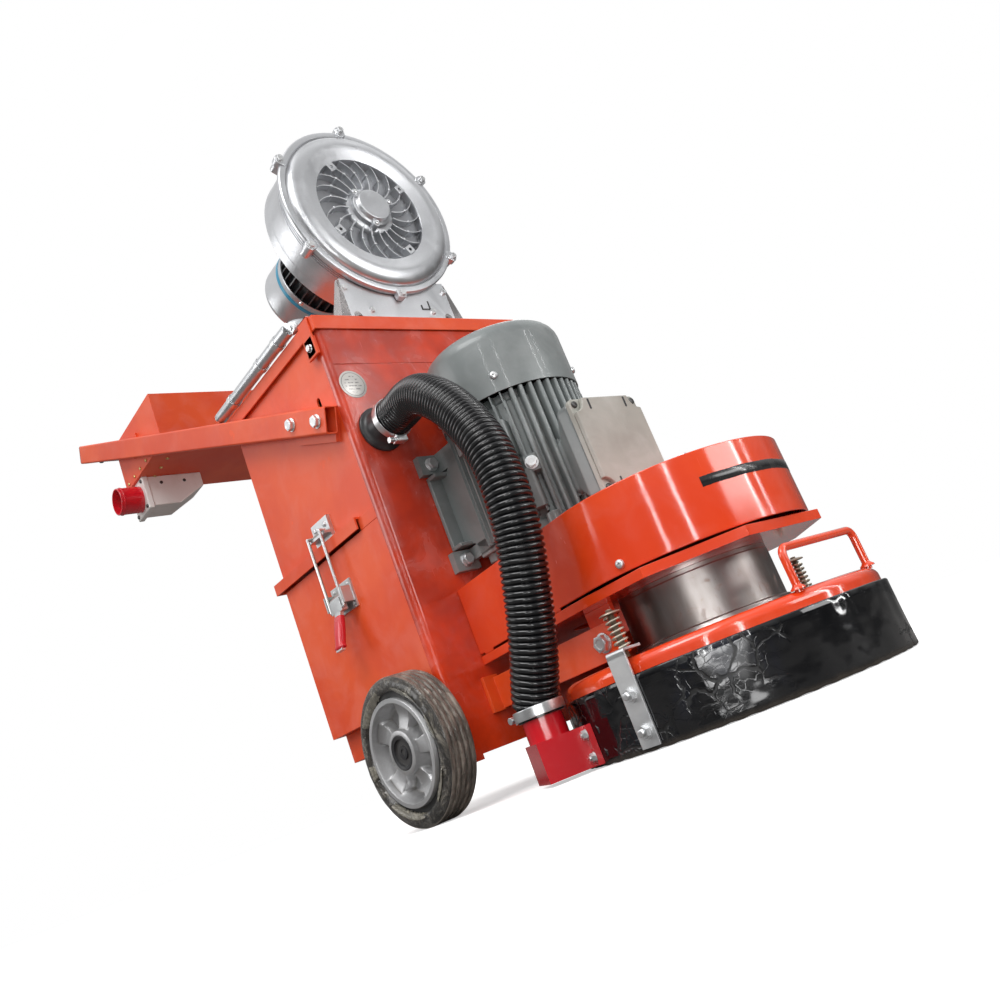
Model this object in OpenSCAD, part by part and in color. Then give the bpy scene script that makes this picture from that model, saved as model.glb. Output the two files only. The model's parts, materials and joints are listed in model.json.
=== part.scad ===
// Single-disc concrete grinder with a built-in dust extractor.
// Axes: +X forward to the grinding head, +Y left, +Z up. Millimetres.
// The origin is on the floor, in the middle of the bounding box.
// The modules are drawn from the wheel axle, and shifted once at the end.

/* [Cabinet] */
// Width over the side walls
cabinet_w = 400; // [340:2:480]
// Front face, measured forward from the wheel axle
cabinet_front = 48; // [44:1:54]
// Rear wall, measured back from the wheel axle
cabinet_rear = 275; // [240:1:330]
// Height of the lid's lip above the floor
cabinet_top = 711; // [660:1:780]
// Height at which the filter housing starts
housing_z = 434; // [420:1:450]
// Height of the front panel's lower edge
panel_low = 62; // [50:1:80]
// Sheet thickness
sheet = 3; // [2:0.5:4]
// Height of the lid's rim
lid_h = 23; // [16:1:30]

/* [Wheels] */
// Tyre radius
wheel_r = 100; // [84:1:120]
// Tyre width
wheel_w = 50; // [40:1:60]
// Gap between the cabinet wall and the wheel
wheel_gap = 15; // [10:1:25]
// Radius of the wheel's hub rim, where the tyre sits
hub_r = 72; // [60:1:76]
// Axle radius
axle_r = 12.5; // [10:0.5:14]

/* [Dust bin] */
// Height of the bin's floor
bin_low = 165; // [160:1:200]
// Travel of the bin when it is drawn out
bin_travel = 250; // [100:10:300]

/* [Motor] */
// Distance of the motor's shaft from the cabinet's front face
motor_height = 112; // [110:1:130]
// Radius over the motor's cooling fins
motor_r = 104; // [96:1:108]
// Height of the motor's lower end
motor_low = 300; // [296:1:310]
// Length of the finned housing
motor_l = 206; // [190:1:230]
// Radius of the fan cover
fan_cover_r = 105; // [98:1:110]
// Height of the fan cover
fan_cover_h = 104; // [90:1:115]
// Radius of the motor's shaft
motor_shaft_r = 14; // [12:1:19]

/* [Belt drive] */
// Distance from the cabinet's front face to the spindle
spindle_reach = 294; // [280:2:320]
// Outer radius of the pulley on the motor
drive_r = 58; // [50:1:64]
// Outer radius of the pulley on the spindle
driven_r = 103; // [90:1:110]
// Depth of a belt groove
groove = 9; // [7:0.5:10]
// Height of the belt guard's lower edge
guard_low = 187; // [186:1:190]
// Height of the belt guard
guard_h = 96; // [92:1:100]
// Radius of the guard round the spindle
guard_r = 160; // [140:1:170]
// Half width of the guard at the cabinet
guard_half = 123; // [100:1:135]

/* [Head] */
// Radius of the head cover
head_r = 200; // [180:1:220]
// Height of the head cover's top face
head_top = 100; // [96:1:104]
// Radius of the steel drum that holds the spindle's bearings
drum_r = 97; // [85:1:110]
// Radius of the spindle
spindle_r = 20; // [16:1:24]
// Radius of the grinding disc
disc_r = 175; // [150:1:176]
// Number of diamond segments
segment_count = 12; // [6:1:16]

/* [Skirt] */
// Gap between the head cover and the skirt
skirt_gap = 2; // [1:0.5:4]
// Thickness of the rubber
skirt_t = 5; // [3:0.5:8]
// Height of the skirt
skirt_h = 79; // [60:1:80]
// Upward travel of the floating skirt
skirt_travel = 15; // [5:1:20]

/* [Handle] */
// Length of a handle tube
handle_l = 1054; // [860:2:1280]
// Slope of the handle tubes
handle_slope = 24; // [18:1:28]
// Height of a handle tube's section
tube_h = 40; // [30:1:50]
// Width of a handle tube's section
tube_w = 20; // [16:1:25]
// Radius of the cross bar
grip_r = 16; // [12:1:18]

/* [Blower] */
// Radius of the blower's housing
blower_r = 150; // [125:1:160]
// Height of the blower's shaft above the lid
blower_rise = 225; // [200:1:250]
// Depth of the blower's housing
blower_l = 78; // [60:1:90]

/* [Hidden] */

seat = 0.3;             // gap between pieces that rest on or pass each other
run_fit = 0.05;         // radial clearance of a shaft in its hole
round_fn = 64;          // facet count that stands for a true circle

half_w = cabinet_w / 2;
wall_y = half_w - sheet;                       // outside of the housing's side sheet
axle_z = wheel_r;
wheel_y0 = half_w + wheel_gap;                 // inner face of a wheel
wheel_y1 = wheel_y0 + wheel_w;
motor_x = cabinet_front + motor_height;
spindle_x = cabinet_front + spindle_reach;
skirt_in = head_r + skirt_gap;
skirt_out = skirt_in + skirt_t;
lid_top = cabinet_top + lid_h;
wall_top = lid_top - sheet - seat;             // the lid rests on the walls' top edges
blower_z = lid_top + blower_rise;
tube_y0 = half_w + 5;                          // inner side of a handle tube
tube_y1 = tube_y0 + tube_w;
handle_x = 29;                                 // front end of the handle tubes
handle_z = 572;
tail_x = handle_x - handle_l * cos(handle_slope) - tube_h / 2 * sin(handle_slope);
x_mid = (spindle_x + skirt_out + tail_x) / 2;  // middle of the bounding box

plate_top = guard_low - 3;
plate_low = plate_top - 12;
guard_top = guard_low + guard_h;

// A box from its two corners
module block(a, b) { translate(a) cube([b[0] - a[0], b[1] - a[1], b[2] - a[2]]); }

// A round bar or bore along an axis, from a point
module rod_x(p, l, r) { translate(p) rotate([0, 90, 0]) cylinder(r = r, h = l, $fn = round_fn); }
module rod_y(p, l, r) { translate(p) rotate([-90, 0, 0]) cylinder(r = r, h = l, $fn = round_fn); }
module rod_z(p, l, r) { translate(p) cylinder(r = r, h = l, $fn = round_fn); }

// The same thing on the right side and, mirrored, on the left
module both_sides() { children(); mirror([0, 1, 0]) children(); }

// Turned round the spindle: angle from +X, seen from above
module at_head(angle) { translate([spindle_x, 0, 0]) rotate([0, 0, angle]) children(); }

// A flat ring round Z
module ring(x, z0, z1, r_out, r_in) {
  difference() {
    rod_z([x, 0, z0], z1 - z0, r_out);
    rod_z([x, 0, z0 - 1], z1 - z0 + 2, r_in);
  }
}

// ---- chassis -------------------------------------------------------------

rail_y0 = half_w - 50;
rail_y1 = half_w - 20;
rail_top = bin_low - seat;
rail_low = axle_z + axle_r + 8;
upright_x0 = cabinet_front - 33;
upright_x1 = cabinet_front - sheet;

module base_frame() color("orangered") difference() {
  union() {
    both_sides() {
      block([-cabinet_rear + 5, -rail_y1, rail_low], [upright_x1, -rail_y0, rail_top]);
      block([-25, -rail_y1, axle_z - 22], [25, -rail_y0, rail_low]);
      block([upright_x0, -half_w + 10, rail_low], [upright_x1, -half_w + 40, housing_z - sheet]);
    }
    block([upright_x0, -rail_y1, rail_low], [upright_x1, rail_y1, rail_top]);
    block([-cabinet_rear + 5, -rail_y1, rail_low], [-cabinet_rear + 35, rail_y1, rail_top]);
  }
  rod_y([0, -half_w, axle_z], cabinet_w, axle_r + run_fit);
}

outlet_r = 100;          // opening between the filter housing and the bin
outlet_x = -120;
rim_out = 8;             // how far the rim below the housing stands out
rim_h = 18;
rim_x1 = -10;            // front end of the rim
slot_x = -12;            // slot in the side wall above the handle
slot_z = 618;
doubler_l = 120;         // plates that carry the handle tubes on the side walls
hose_y = -153;
hose_z = 541;
collar_r = 27;
housing_x1 = cabinet_front - sheet;

return_l = 14;           // how far the front panel wraps round the sides
bend_r = 10;

// The front panel's outline seen from above, at a distance inside its face
module panel_outline(inset, z0, z1) intersection() {
  union() {
    block([cabinet_front - return_l - 10, -half_w + inset, z0],
          [cabinet_front - bend_r, half_w - inset, z1]);
    block([cabinet_front - bend_r - 1, -half_w + bend_r, z0],
          [cabinet_front - inset, half_w - bend_r, z1]);
    for (s = [-1, 1])
      rod_z([cabinet_front - bend_r, s * (half_w - bend_r), z0], z1 - z0, bend_r - inset);
  }
  block([cabinet_front - return_l, -half_w, z0], [cabinet_front, half_w, z1]);
}

module filter_housing() color("orangered") difference() {
  union() {
    difference() {
      union() {
        block([-cabinet_rear, -wall_y, housing_z - sheet],
              [cabinet_front - return_l + 1, wall_y, wall_top]);
        panel_outline(sheet, housing_z - sheet, wall_top);
      }
      block([-cabinet_rear + sheet, -wall_y + sheet, housing_z],
            [housing_x1 - bend_r, wall_y - sheet, wall_top + 1]);
      block([0, -wall_y + bend_r, housing_z], [housing_x1 - sheet, wall_y - bend_r, wall_top + 1]);
    }
    difference() {
      block([-cabinet_rear - 18, -half_w - rim_out, housing_z - rim_h],
            [rim_x1, half_w + rim_out, housing_z]);
      block([-cabinet_rear - 18 + sheet, -half_w - rim_out + sheet, housing_z - rim_h - 1],
            [rim_x1 + 1, half_w + rim_out - sheet, housing_z - sheet]);
    }
    both_sides() along_tube()
      block([-doubler_l, -tube_y0, -tube_h / 2 - 12], [-8, -wall_y + 1, tube_h / 2]);
  }
  both_sides() along_tube() for (p = bolt_at)
    rod_y([p[0], -tube_y0 - 1, p[1] - 4], tube_y0 - wall_y + sheet + 2, bolt_r + seat);
  both_sides() rod_x([housing_x1 - sheet - 1, -foot_y, foot_z[1]], sheet + 2, bolt_r + seat);
  rod_z([outlet_x, 0, housing_z - 10], 20, outlet_r);
  rod_x([housing_x1 - sheet - 1, hose_y, hose_z], sheet + 2, collar_r + run_fit);
  both_sides() {
    for (dz = [-6, 6]) rod_y([slot_x, -half_w - 1, slot_z + dz], sheet * 2 + 2, 5);
    block([slot_x - 5, -half_w - 1, slot_z - 6], [slot_x + 5, -wall_y + sheet + 1, slot_z + 6]);
  }
}

seam_z = 652;

module front_panel() color("orangered") difference() {
  panel_outline(0, panel_low - 7, wall_top);
  panel_outline(sheet, panel_low - 8, wall_top + 1);
  block([cabinet_front - 12, -half_w + 24, panel_low - 8],
        [cabinet_front + 1, half_w - 24, panel_low]);
  block([cabinet_front - 1, -half_w - 1, seam_z - 1], [cabinet_front + 1, half_w + 1, seam_z + 1]);
  rod_x([cabinet_front - sheet - 1, hose_y, hose_z], sheet + 2, collar_r + run_fit);
  both_sides() for (z = foot_z)
    rod_x([cabinet_front - sheet - 1, -foot_y, z], sheet + 2, bolt_r + seat);
}

bin_top = housing_z - rim_h - 2.5;
bin_front = upright_x0 - 7;
grab_z = 320;

module dust_bin() color("orangered") {
  difference() {
    block([-cabinet_rear, -half_w, bin_low], [bin_front, half_w, bin_top]);
    block([-cabinet_rear + sheet, -half_w + sheet, bin_low + sheet],
          [bin_front - sheet, half_w - sheet, bin_top + 1]);
  }
  both_sides() block([bin_front - 1, -half_w, bin_low],
                     [cabinet_front - return_l - seat, -half_w + sheet, bin_top]);
  rod_y([-cabinet_rear - 35, -70, grab_z], 140, 8);
  both_sides() rod_x([-cabinet_rear - 35, -66, grab_z], 36, 6);
}

lid_out = 4;             // how far the lid overhangs the walls
duct_x = -19;            // suction opening under the blower
duct_r = 25;

module lid() color("orangered") difference() {
  block([-cabinet_rear - lid_out, -half_w - lid_out, cabinet_top],
        [cabinet_front + lid_out, half_w + lid_out, lid_top]);
  block([-cabinet_rear - lid_out + sheet, -half_w - lid_out + sheet, cabinet_top - 1],
        [cabinet_front + lid_out - sheet, half_w + lid_out - sheet, lid_top - sheet]);
  rod_z([duct_x, 0, lid_top - 10], 20, duct_r);
}

filter_r = 115;

module filter_cartridge() color("ivory") difference() {
  union() {
    rod_z([outlet_x, 0, housing_z + 10], cabinet_top - housing_z - 40, filter_r);
    rod_z([outlet_x, 0, housing_z], 10, filter_r + 8);
    for (a = [0:15:345]) translate([outlet_x, 0, 0]) rotate([0, 0, a])
      block([filter_r - 2, -3, housing_z + 10], [filter_r + 5, 3, cabinet_top - 40]);
  }
  rod_z([outlet_x, 0, housing_z - 1], cabinet_top - housing_z - 42, outlet_r - 15);
}

// ---- wheels --------------------------------------------------------------

module axle() color("silver") {
  rod_y([0, -wheel_y1 + 6, axle_z], 2 * wheel_y1 - 12, axle_r);
  both_sides() rod_y([0, -wheel_y0 + seat, axle_z], wheel_y0 - rail_y1 - seat, axle_r + 7);
}

// Tyre section: radius against width, with four grooves
function tread(u, k) = [
  [u, wheel_r - 7], [u + 1.5, wheel_r - 2], [u + 6, wheel_r],
  for (i = [1:4]) let (g = u + i * k)
    each [[g - 1.4, wheel_r], [g - 1.4, wheel_r - 3], [g + 1.4, wheel_r - 3], [g + 1.4, wheel_r]],
  [u + wheel_w - 6, wheel_r], [u + wheel_w - 1.5, wheel_r - 2], [u + wheel_w, wheel_r - 7],
  [u + wheel_w, hub_r], [u, hub_r]
];

module tyre() color("dimgray") translate([0, -wheel_y1, axle_z]) rotate([-90, 0, 0])
  rotate_extrude($fn = round_fn) polygon([for (p = tread(0, wheel_w / 5)) [p[1], p[0]]]);

boss_r = 27;
plug_r = 23.5;
rim_t = 9;

module hub() color("silver") translate([0, -wheel_y1, axle_z]) rotate([-90, 0, 0]) difference() {
  union() {
    difference() {
      rod_z([0, 0, 0], wheel_w, hub_r);
      rod_z([0, 0, -1], wheel_w / 2 - 8, hub_r - rim_t);
      rod_z([0, 0, wheel_w / 2 + 9], wheel_w, hub_r - rim_t);
    }
    rod_z([0, 0, 2], wheel_w - 2 - seat, boss_r);
    for (a = [0:72:288]) rotate([0, 0, a + 18])
      block([boss_r - 2, -4, 6], [hub_r - rim_t + 2, 4, wheel_w - 6]);
  }
  rod_z([0, 0, -1], wheel_w + 2, axle_r + run_fit);
  rod_z([0, 0, -1], 7, plug_r);
}

// ---- dust bin latches ----------------------------------------------------

latch_x = -110;
keeper_out = 14;
keeper_top = 447;
ear_x = 24;              // half distance between the ears
pivot_out = 12;          // lever pin out from the wall
pivot_z = 345;
rod_out = 18.5;          // loop rods out from the wall
loop_low = 330;          // lower end of the loop
loop_x = 20;             // half distance between the loop's rods
loop_r = 2.5;
pin_r = 3;

module latch_keepers() color("silver") both_sides() difference() {
  union() {
    block([latch_x - 26, -half_w - 3, housing_z + 1], [latch_x + 26, -half_w + sheet, keeper_top + 24]);
    block([latch_x - 26, -half_w - keeper_out, keeper_top - 4], [latch_x + 26, -half_w - 2, keeper_top]);
  }
  for (dx = [-15, 15]) rod_y([latch_x + dx, -half_w - 4, keeper_top + 13], sheet * 2 + 8, 2.5);
}

module latch_bases() color("silver") both_sides() {
  block([latch_x - 30, -half_w - 3, pivot_z - 22], [latch_x + 30, -half_w, pivot_z + 22]);
  for (s = [-1, 1]) block([latch_x + s * (ear_x + 2) - 2, -half_w - 20, pivot_z - 12],
                          [latch_x + s * (ear_x + 2) + 2, -half_w - 2, pivot_z + 12]);
  rod_x([latch_x - ear_x - 1, -half_w - pivot_out, pivot_z], 2 * ear_x + 2, pin_r);
}

lever_half = 16;

module lever() color("silver") difference() {
  union() {
    rod_x([latch_x - lever_half, -half_w - pivot_out, pivot_z], 2 * lever_half, pin_r + 3);
    block([latch_x - lever_half, -half_w - rod_out - 3, loop_low - 5],
          [latch_x + lever_half, -half_w - pivot_out + 1, pivot_z]);
    translate([0, -half_w - rod_out - 3, loop_low - 5]) rotate([-17, 0, 0])
      block([latch_x - 9, 0, -58], [latch_x + 9, 6, 6]);
  }
  rod_x([latch_x - lever_half - 1, -half_w - pivot_out, pivot_z], 2 * lever_half + 2, pin_r + run_fit);
  rod_x([latch_x - lever_half - 1, -half_w - rod_out, loop_low], 2 * lever_half + 2, loop_r + run_fit);
}

loop_bar_z = keeper_top + seat + loop_r;
loop_bar_out = 9;

module loop() color("gainsboro") {
  rod_x([latch_x - loop_x, -half_w - rod_out, loop_low], 2 * loop_x, loop_r);
  for (s = [-1, 1]) translate([latch_x + s * loop_x, 0, 0]) {
    rod_z([0, -half_w - rod_out, loop_low], loop_bar_z - loop_low, loop_r);
    rod_y([0, -half_w - rod_out, loop_bar_z], rod_out - loop_bar_out, loop_r);
    for (p = [[rod_out, loop_low], [rod_out, loop_bar_z], [loop_bar_out, loop_bar_z]])
      translate([0, -half_w - p[0], p[1]]) sphere(r = loop_r, $fn = round_fn);
  }
  rod_x([latch_x - loop_x, -half_w - loop_bar_out, loop_bar_z], 2 * loop_x, loop_r);
}

// ---- handle, control box and mains inlet ---------------------------------

bolt_r = 5;
bolt_at = [[-22, 4], [-95, 4]];     // along and across a handle tube, from its front end

// Laid along a handle tube: x runs back up the tube, z across it
module along_tube() translate([handle_x, 0, handle_z]) rotate([0, handle_slope, 0]) children();

module handle_tube() color("orangered") along_tube() difference() {
  block([-handle_l, -tube_y1, -tube_h / 2], [0, -tube_y0, tube_h / 2]);
  block([-handle_l - 1, -tube_y1 + 2, -tube_h / 2 + 2], [1, -tube_y0 - 2, tube_h / 2 - 2]);
  for (p = bolt_at) rod_y([p[0], -tube_y1 - 1, p[1] - 4], tube_w + 2, bolt_r + seat);
}

module handle_bar() color("orangered") along_tube()
  rod_y([-handle_l + 25, -tube_y0, 0], 2 * tube_y0, grip_r);

// A hex bolt along +Y, its washer seated at y = 0 and its shank beyond
module hex_bolt(r, shank) {
  rod_y([0, -2, 0], 2, 2.1 * r);
  rotate([-90, 0, 0]) translate([0, 0, -2 - 1.4 * r]) cylinder(r = 1.85 * r, h = 1.4 * r, $fn = 6);
  rod_y([0, -2, 0], 2 + shank, r);
}

foot_y = 96;
foot_z = [motor_low + 21, motor_low + 173];
foot_t = 12;
arm_y0 = drum_r + 15;    // inner side of a red arm
arm_t = 8;
arm_x = spindle_x - 67;
arm_z = 130;

module hex_bolts() color("silver") {
  both_sides() along_tube() for (p = bolt_at)
    translate([p[0], -tube_y1, p[1] - 4]) hex_bolt(bolt_r, tube_w + 11);
  both_sides() for (z = foot_z) translate([cabinet_front + foot_t, -foot_y, z])
    rotate([0, 0, 90]) hex_bolt(bolt_r, foot_t + sheet);
  both_sides() translate([arm_x, -arm_y0 - arm_t, arm_z]) hex_bolt(bolt_r + 1, arm_t + 12);
}

box_x0 = -790;
box_x1 = -560;
box_z0 = 838;
box_z1 = 948;
box_half = half_w;

module control_box() color("orangered") {
  difference() {
    block([box_x0, -box_half, box_z0], [box_x1, box_half, box_z1]);
    block([box_x0 - 1, -box_half + 2, box_z0 + 2], [box_x1 - 2, box_half - 2, box_z1 - 2]);
  }
  both_sides() block([-700, -tube_y0, box_z0 + 35], [-660, -box_half + 1, box_z0 + 75]);
}

button_z = box_z0 + 55;
start_y = 90;
stop_y = 40;
emergency_y = -90;
stem_r = 8;
panel_t = 2;

module control_panel() color("orangered") difference() {
  block([box_x0 - panel_t, -box_half, box_z0], [box_x0, box_half, box_z1]);
  for (y = [start_y, stop_y, emergency_y])
    rod_x([box_x0 - panel_t - 1, y, button_z], panel_t + 2, stem_r + seat);
}

// A push button on the rear of the box: cap outside, retaining flange inside
module push_button(y, cap_r, cap_t) {
  rod_x([box_x0 - panel_t - 5 - cap_t, y, button_z], cap_t, cap_r);
  rod_x([box_x0 - panel_t - 6, y, button_z], panel_t + 12, stem_r);
  rod_x([box_x0 + seat, y, button_z], 3, stem_r + 3);
}

module start_button() color("green") push_button(start_y, 11, 8);
module stop_button() color("red") push_button(stop_y, 11, 8);
module emergency_stop() color("red") push_button(emergency_y, 20, 14);

inlet_x = -752;
inlet_z = box_z0 - 36;
inlet_y0 = -half_w + 5;
inlet_l = 130;
shroud_r = 28;

module inlet_housing() color("white") difference() {
  union() {
    block([inlet_x - 38, inlet_y0, inlet_z - 36], [inlet_x + 38, inlet_y0 + 12, inlet_z + 36]);
    block([inlet_x - 34, inlet_y0 + 10, inlet_z - 30], [inlet_x + 34, inlet_y0 + inlet_l, inlet_z + 36]);
  }
  translate([0, inlet_y0 + inlet_l - 60, inlet_z - 30]) rotate([30, 0, 0])
    block([inlet_x - 40, 0, -60], [inlet_x + 40, 90, 0]);
  rod_y([inlet_x, inlet_y0 - 1, inlet_z], 40, shroud_r - 3);
}

module inlet_shroud() color("red") {
  difference() {
    rod_y([inlet_x, inlet_y0 - 48, inlet_z], 48, shroud_r);
    rod_y([inlet_x, inlet_y0 - 49, inlet_z], 45, shroud_r - 3);
  }
  rod_y([inlet_x, inlet_y0 - 1, inlet_z], 21, shroud_r - 3);
  for (a = [45:90:315]) rod_y([inlet_x + 13 * cos(a), inlet_y0 - 32, inlet_z + 13 * sin(a)], 33, 3);
}

// ---- motor ---------------------------------------------------------------

body_low = motor_low + 18;
body_top = motor_low + motor_l - 18;
shell_r = motor_r - 16;
bore_r = shell_r - 26;
fin_t = 3;
box_gap = 7;             // terminal box in front of the motor's shell
term_x0 = motor_x + shell_r + box_gap;

module motor_body() color("slategray") difference() {
  union() {
    rod_z([motor_x, 0, body_low], body_top - body_low, shell_r);
    for (a = [42:9:318]) translate([motor_x, 0, 0]) rotate([0, 0, a])
      block([shell_r - 3, -fin_t / 2, body_low + 3], [motor_r, fin_t / 2, body_top - 3]);
    block([motor_x, -36, motor_low + 26], [term_x0, 36, motor_low + 110]);
    both_sides() for (z = foot_z) {
      block([cabinet_front + seat, -foot_y - 20, z - 15], [cabinet_front + foot_t, -foot_y + 22, z + 15]);
      block([cabinet_front + seat, -foot_y + 12, max(z - 15, body_low)],
            [motor_x - 40, -foot_y + 22, min(z + 15, body_top)]);
    }
  }
  rod_z([motor_x, 0, body_low - 1], body_top - body_low + 2, bore_r);
  both_sides() for (z = foot_z) rod_x([cabinet_front - 1, -foot_y, z], 20, bolt_r + seat);
}

module motor_shields() color("slategray") {
  for (z = [motor_low, body_top]) difference() {
    union() {
      rod_z([motor_x, 0, z], 18, shell_r + 6);
      if (z == body_top) for (a = [45:90:315]) translate([motor_x, 0, 0]) rotate([0, 0, a])
        block([shell_r, -8, cover_low + 1], [fan_cover_r - 2.6, 8, z + 18]);
    }
    rod_z([motor_x, 0, z - 1], 20, motor_shaft_r + run_fit);
  }
}

cover_low = motor_low + motor_l - 6;
shoulder = 26;

// Fan cover's section: an inner or outer outline with a rounded shoulder
function cover_line(r, h, s) = concat([[0, 0], [r, 0]],
  [for (a = [0:15:90]) [r - s + s * cos(a), h - s + s * sin(a)]], [[0, h]]);

module motor_fan_cover() color("slategray") translate([motor_x, 0, cover_low]) difference() {
  rotate_extrude($fn = round_fn) polygon(cover_line(fan_cover_r, fan_cover_h, shoulder));
  translate([0, 0, -2])
    rotate_extrude($fn = round_fn) polygon(cover_line(fan_cover_r - 2, fan_cover_h, shoulder - 2));
  for (n = [1:4]) for (a = [0:360 / (6 * n):359])
    rotate([0, 0, a]) rod_z([13 * n, 0, fan_cover_h - 5], 10, 3.5);
}

rotor_top = cover_low + 60;
pulley_low = guard_low + 12;
pulley_top = guard_top - 16;

module motor_rotor() color("silver") {
  rod_z([motor_x, 0, pulley_low], rotor_top - pulley_low, motor_shaft_r);
  rod_z([motor_x, 0, body_low + 12], body_top - body_low - 24, bore_r - 1);
}

module motor_fan() color("black") difference() {
  union() {
    rod_z([motor_x, 0, cover_low + 24], 26, motor_shaft_r + 10);
    rod_z([motor_x, 0, cover_low + 24], 4, fan_cover_r - 22);
    for (a = [0:45:315]) translate([motor_x, 0, 0]) rotate([0, 0, a])
      block([motor_shaft_r + 8, -1.5, cover_low + 26], [fan_cover_r - 22, 1.5, cover_low + 58]);
  }
  rod_z([motor_x, 0, cover_low], 80, motor_shaft_r);
}

term_half = 65;
term_l = 74;
term_low = motor_low;
term_h = 134;
term_cover_t = 14;

module terminal_box() color("slategray") difference() {
  block([term_x0, -term_half + 3, term_low + 3], [term_x0 + term_l - term_cover_t, term_half - 3, term_low + term_h - 3]);
  block([term_x0 + 6, -term_half + 9, term_low + 9], [term_x0 + term_l, term_half - 9, term_low + term_h - 9]);
}

module terminal_cover() color("tan") difference() {
  block([term_x0 + term_l - term_cover_t, -term_half, term_low], [term_x0 + term_l, term_half, term_low + term_h]);
  for (s = [-1, 1]) for (z = [term_low + 12, term_low + term_h - 12])
    rod_x([term_x0 + term_l - 3, s * (term_half - 12), z], 4, 5);
}

// ---- belt drive ----------------------------------------------------------

arc_steps = 48;
function arc(x, r, a0, a1) = [for (i = [0:arc_steps])
  let (a = a0 + (a1 - a0) * i / arc_steps) [x + r * cos(a), r * sin(a)]];

// Outline round the spindle at radius r, tapering back to a half width at x0
module taper(r, half, x0, z0, z1) {
  dx = spindle_x - x0;
  a = atan2(half, -dx) - acos(r / sqrt(dx * dx + half * half));
  translate([0, 0, z0]) linear_extrude(z1 - z0)
    polygon(concat([[x0, -half]], arc(spindle_x, r, -a, a), [[x0, half]]));
}

// The guard's side wall between two heights
module guard_band(z0, z1) difference() {
  taper(guard_r, guard_half, cabinet_front + seat, z0, z1);
  taper(guard_r - sheet, guard_half - sheet, cabinet_front - 1, z0 - 1, z1 + 1);
}

module belt_guard() color("orangered") {
  guard_band(guard_low, guard_top - sheet);
  difference() {
    taper(guard_r, guard_half, cabinet_front + seat, guard_top - sheet, guard_top);
    rod_z([motor_x, 0, guard_top - 5], 10, motor_shaft_r + 20);
  }
  intersection() {
    guard_band(plate_top, guard_low + 1);
    for (x = [cabinet_front + 12, spindle_x - 110])
      block([x, -guard_r, plate_top - 1], [x + 24, guard_r, guard_low + 2]);
  }
}

ear_t = 8;

module guard_plate() color("orangered") difference() {
  union() {
    translate([0, 0, plate_low]) linear_extrude(plate_top - plate_low) polygon([
      [cabinet_front + seat, -guard_half], [spindle_x - 40, -guard_r + 4],
      [spindle_x + 60, -guard_r + 4], [spindle_x + guard_r - 8, -guard_r + 84],
      [spindle_x + guard_r - 8, guard_r - 84], [spindle_x + 60, guard_r - 4],
      [spindle_x - 40, guard_r - 4], [cabinet_front + seat, guard_half]]);
    both_sides() block([arm_x - 22, -arm_y0 + seat, arm_z - 20], [arm_x + 22, -arm_y0 + ear_t, plate_low + 1]);
  }
  rod_z([spindle_x, 0, plate_low - 1], 20, spindle_r + 22);
  rod_z([motor_x, 0, plate_low - 1], 20, motor_shaft_r + 20);
  both_sides() rod_y([arm_x, -arm_y0 - 1, arm_z], ear_t + 2, bolt_r + 1 + seat);
}

belt_w = 10;
belt_h = 8;
belt_pitch = 19;
belt_count = 3;
function belt_z(i) = pulley_low + 6 + i * belt_pitch;

module pulley(x, r, shaft) difference() {
  rod_z([x, 0, pulley_low], pulley_top - pulley_low, r);
  for (i = [0:belt_count - 1]) difference() {
    rod_z([x, 0, belt_z(i)], belt_w + 1, r + 1);
    rod_z([x, 0, belt_z(i) - 1], belt_w + 3, r - groove);
  }
  rod_z([x, 0, pulley_low - 1], pulley_top - pulley_low + 2, shaft);
}

module drive_pulley() color("dimgray") pulley(motor_x, drive_r, motor_shaft_r);
module driven_pulley() color("dimgray") pulley(spindle_x, driven_r, spindle_r);

// Solid outline of a belt at a distance from the grooves' floors
module belt_solid(off, z, h) {
  r1 = drive_r - groove + off;
  r2 = driven_r - groove + off;
  a = acos((r1 - r2) / (spindle_x - motor_x));
  translate([0, 0, z]) linear_extrude(h)
    polygon(concat(arc(spindle_x, r2, -a, a), arc(motor_x, r1, a, 360 - a)));
}

module belts() color("black") for (i = [0:belt_count - 1]) difference() {
  belt_solid(seat + belt_h, belt_z(i) + 0.5, belt_w);
  belt_solid(seat, belt_z(i) - 0.5, belt_w + 2);
}

// ---- grinding head -------------------------------------------------------

cover_t = 8;
rim_low = 40;
disc_z0 = 14;
disc_t = 12;
hub_disc_r = 45;
bearing_r = spindle_r + 20;
bearing_h = 18;
bearings = [head_top + 6, plate_low - 6 - bearing_h];

module spindle() color("silver") {
  rod_z([spindle_x, 0, disc_z0 + disc_t], pulley_top + 6 - disc_z0 - disc_t, spindle_r);
  rod_z([spindle_x, 0, disc_z0 + disc_t], 26, hub_disc_r);
}

module spindle_drum() color("gray") difference() {
  rod_z([spindle_x, 0, head_top], plate_low - head_top, drum_r);
  rod_z([spindle_x, 0, head_top - 1], plate_low - head_top + 2, spindle_r + 8);
  rod_z([spindle_x, 0, head_top - 1], bearings[0] + bearing_h - head_top + 1, bearing_r);
  rod_z([spindle_x, 0, bearings[1]], plate_low + 1 - bearings[1], bearing_r);
}

module spindle_bearings() color("silver") for (z = bearings)
  ring(spindle_x, z + 0.5, z + bearing_h - 0.5, bearing_r, spindle_r + run_fit);

module grinding_disc() color("dimgray") difference() {
  rod_z([spindle_x, 0, disc_z0], disc_t, disc_r);
  for (i = [0:5]) at_head(i * 60 + 30) rod_z([disc_r * 0.45, 0, disc_z0 - 1], disc_t + 2, 12);
}

segment_l = 40;
segment_w = 15;

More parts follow.
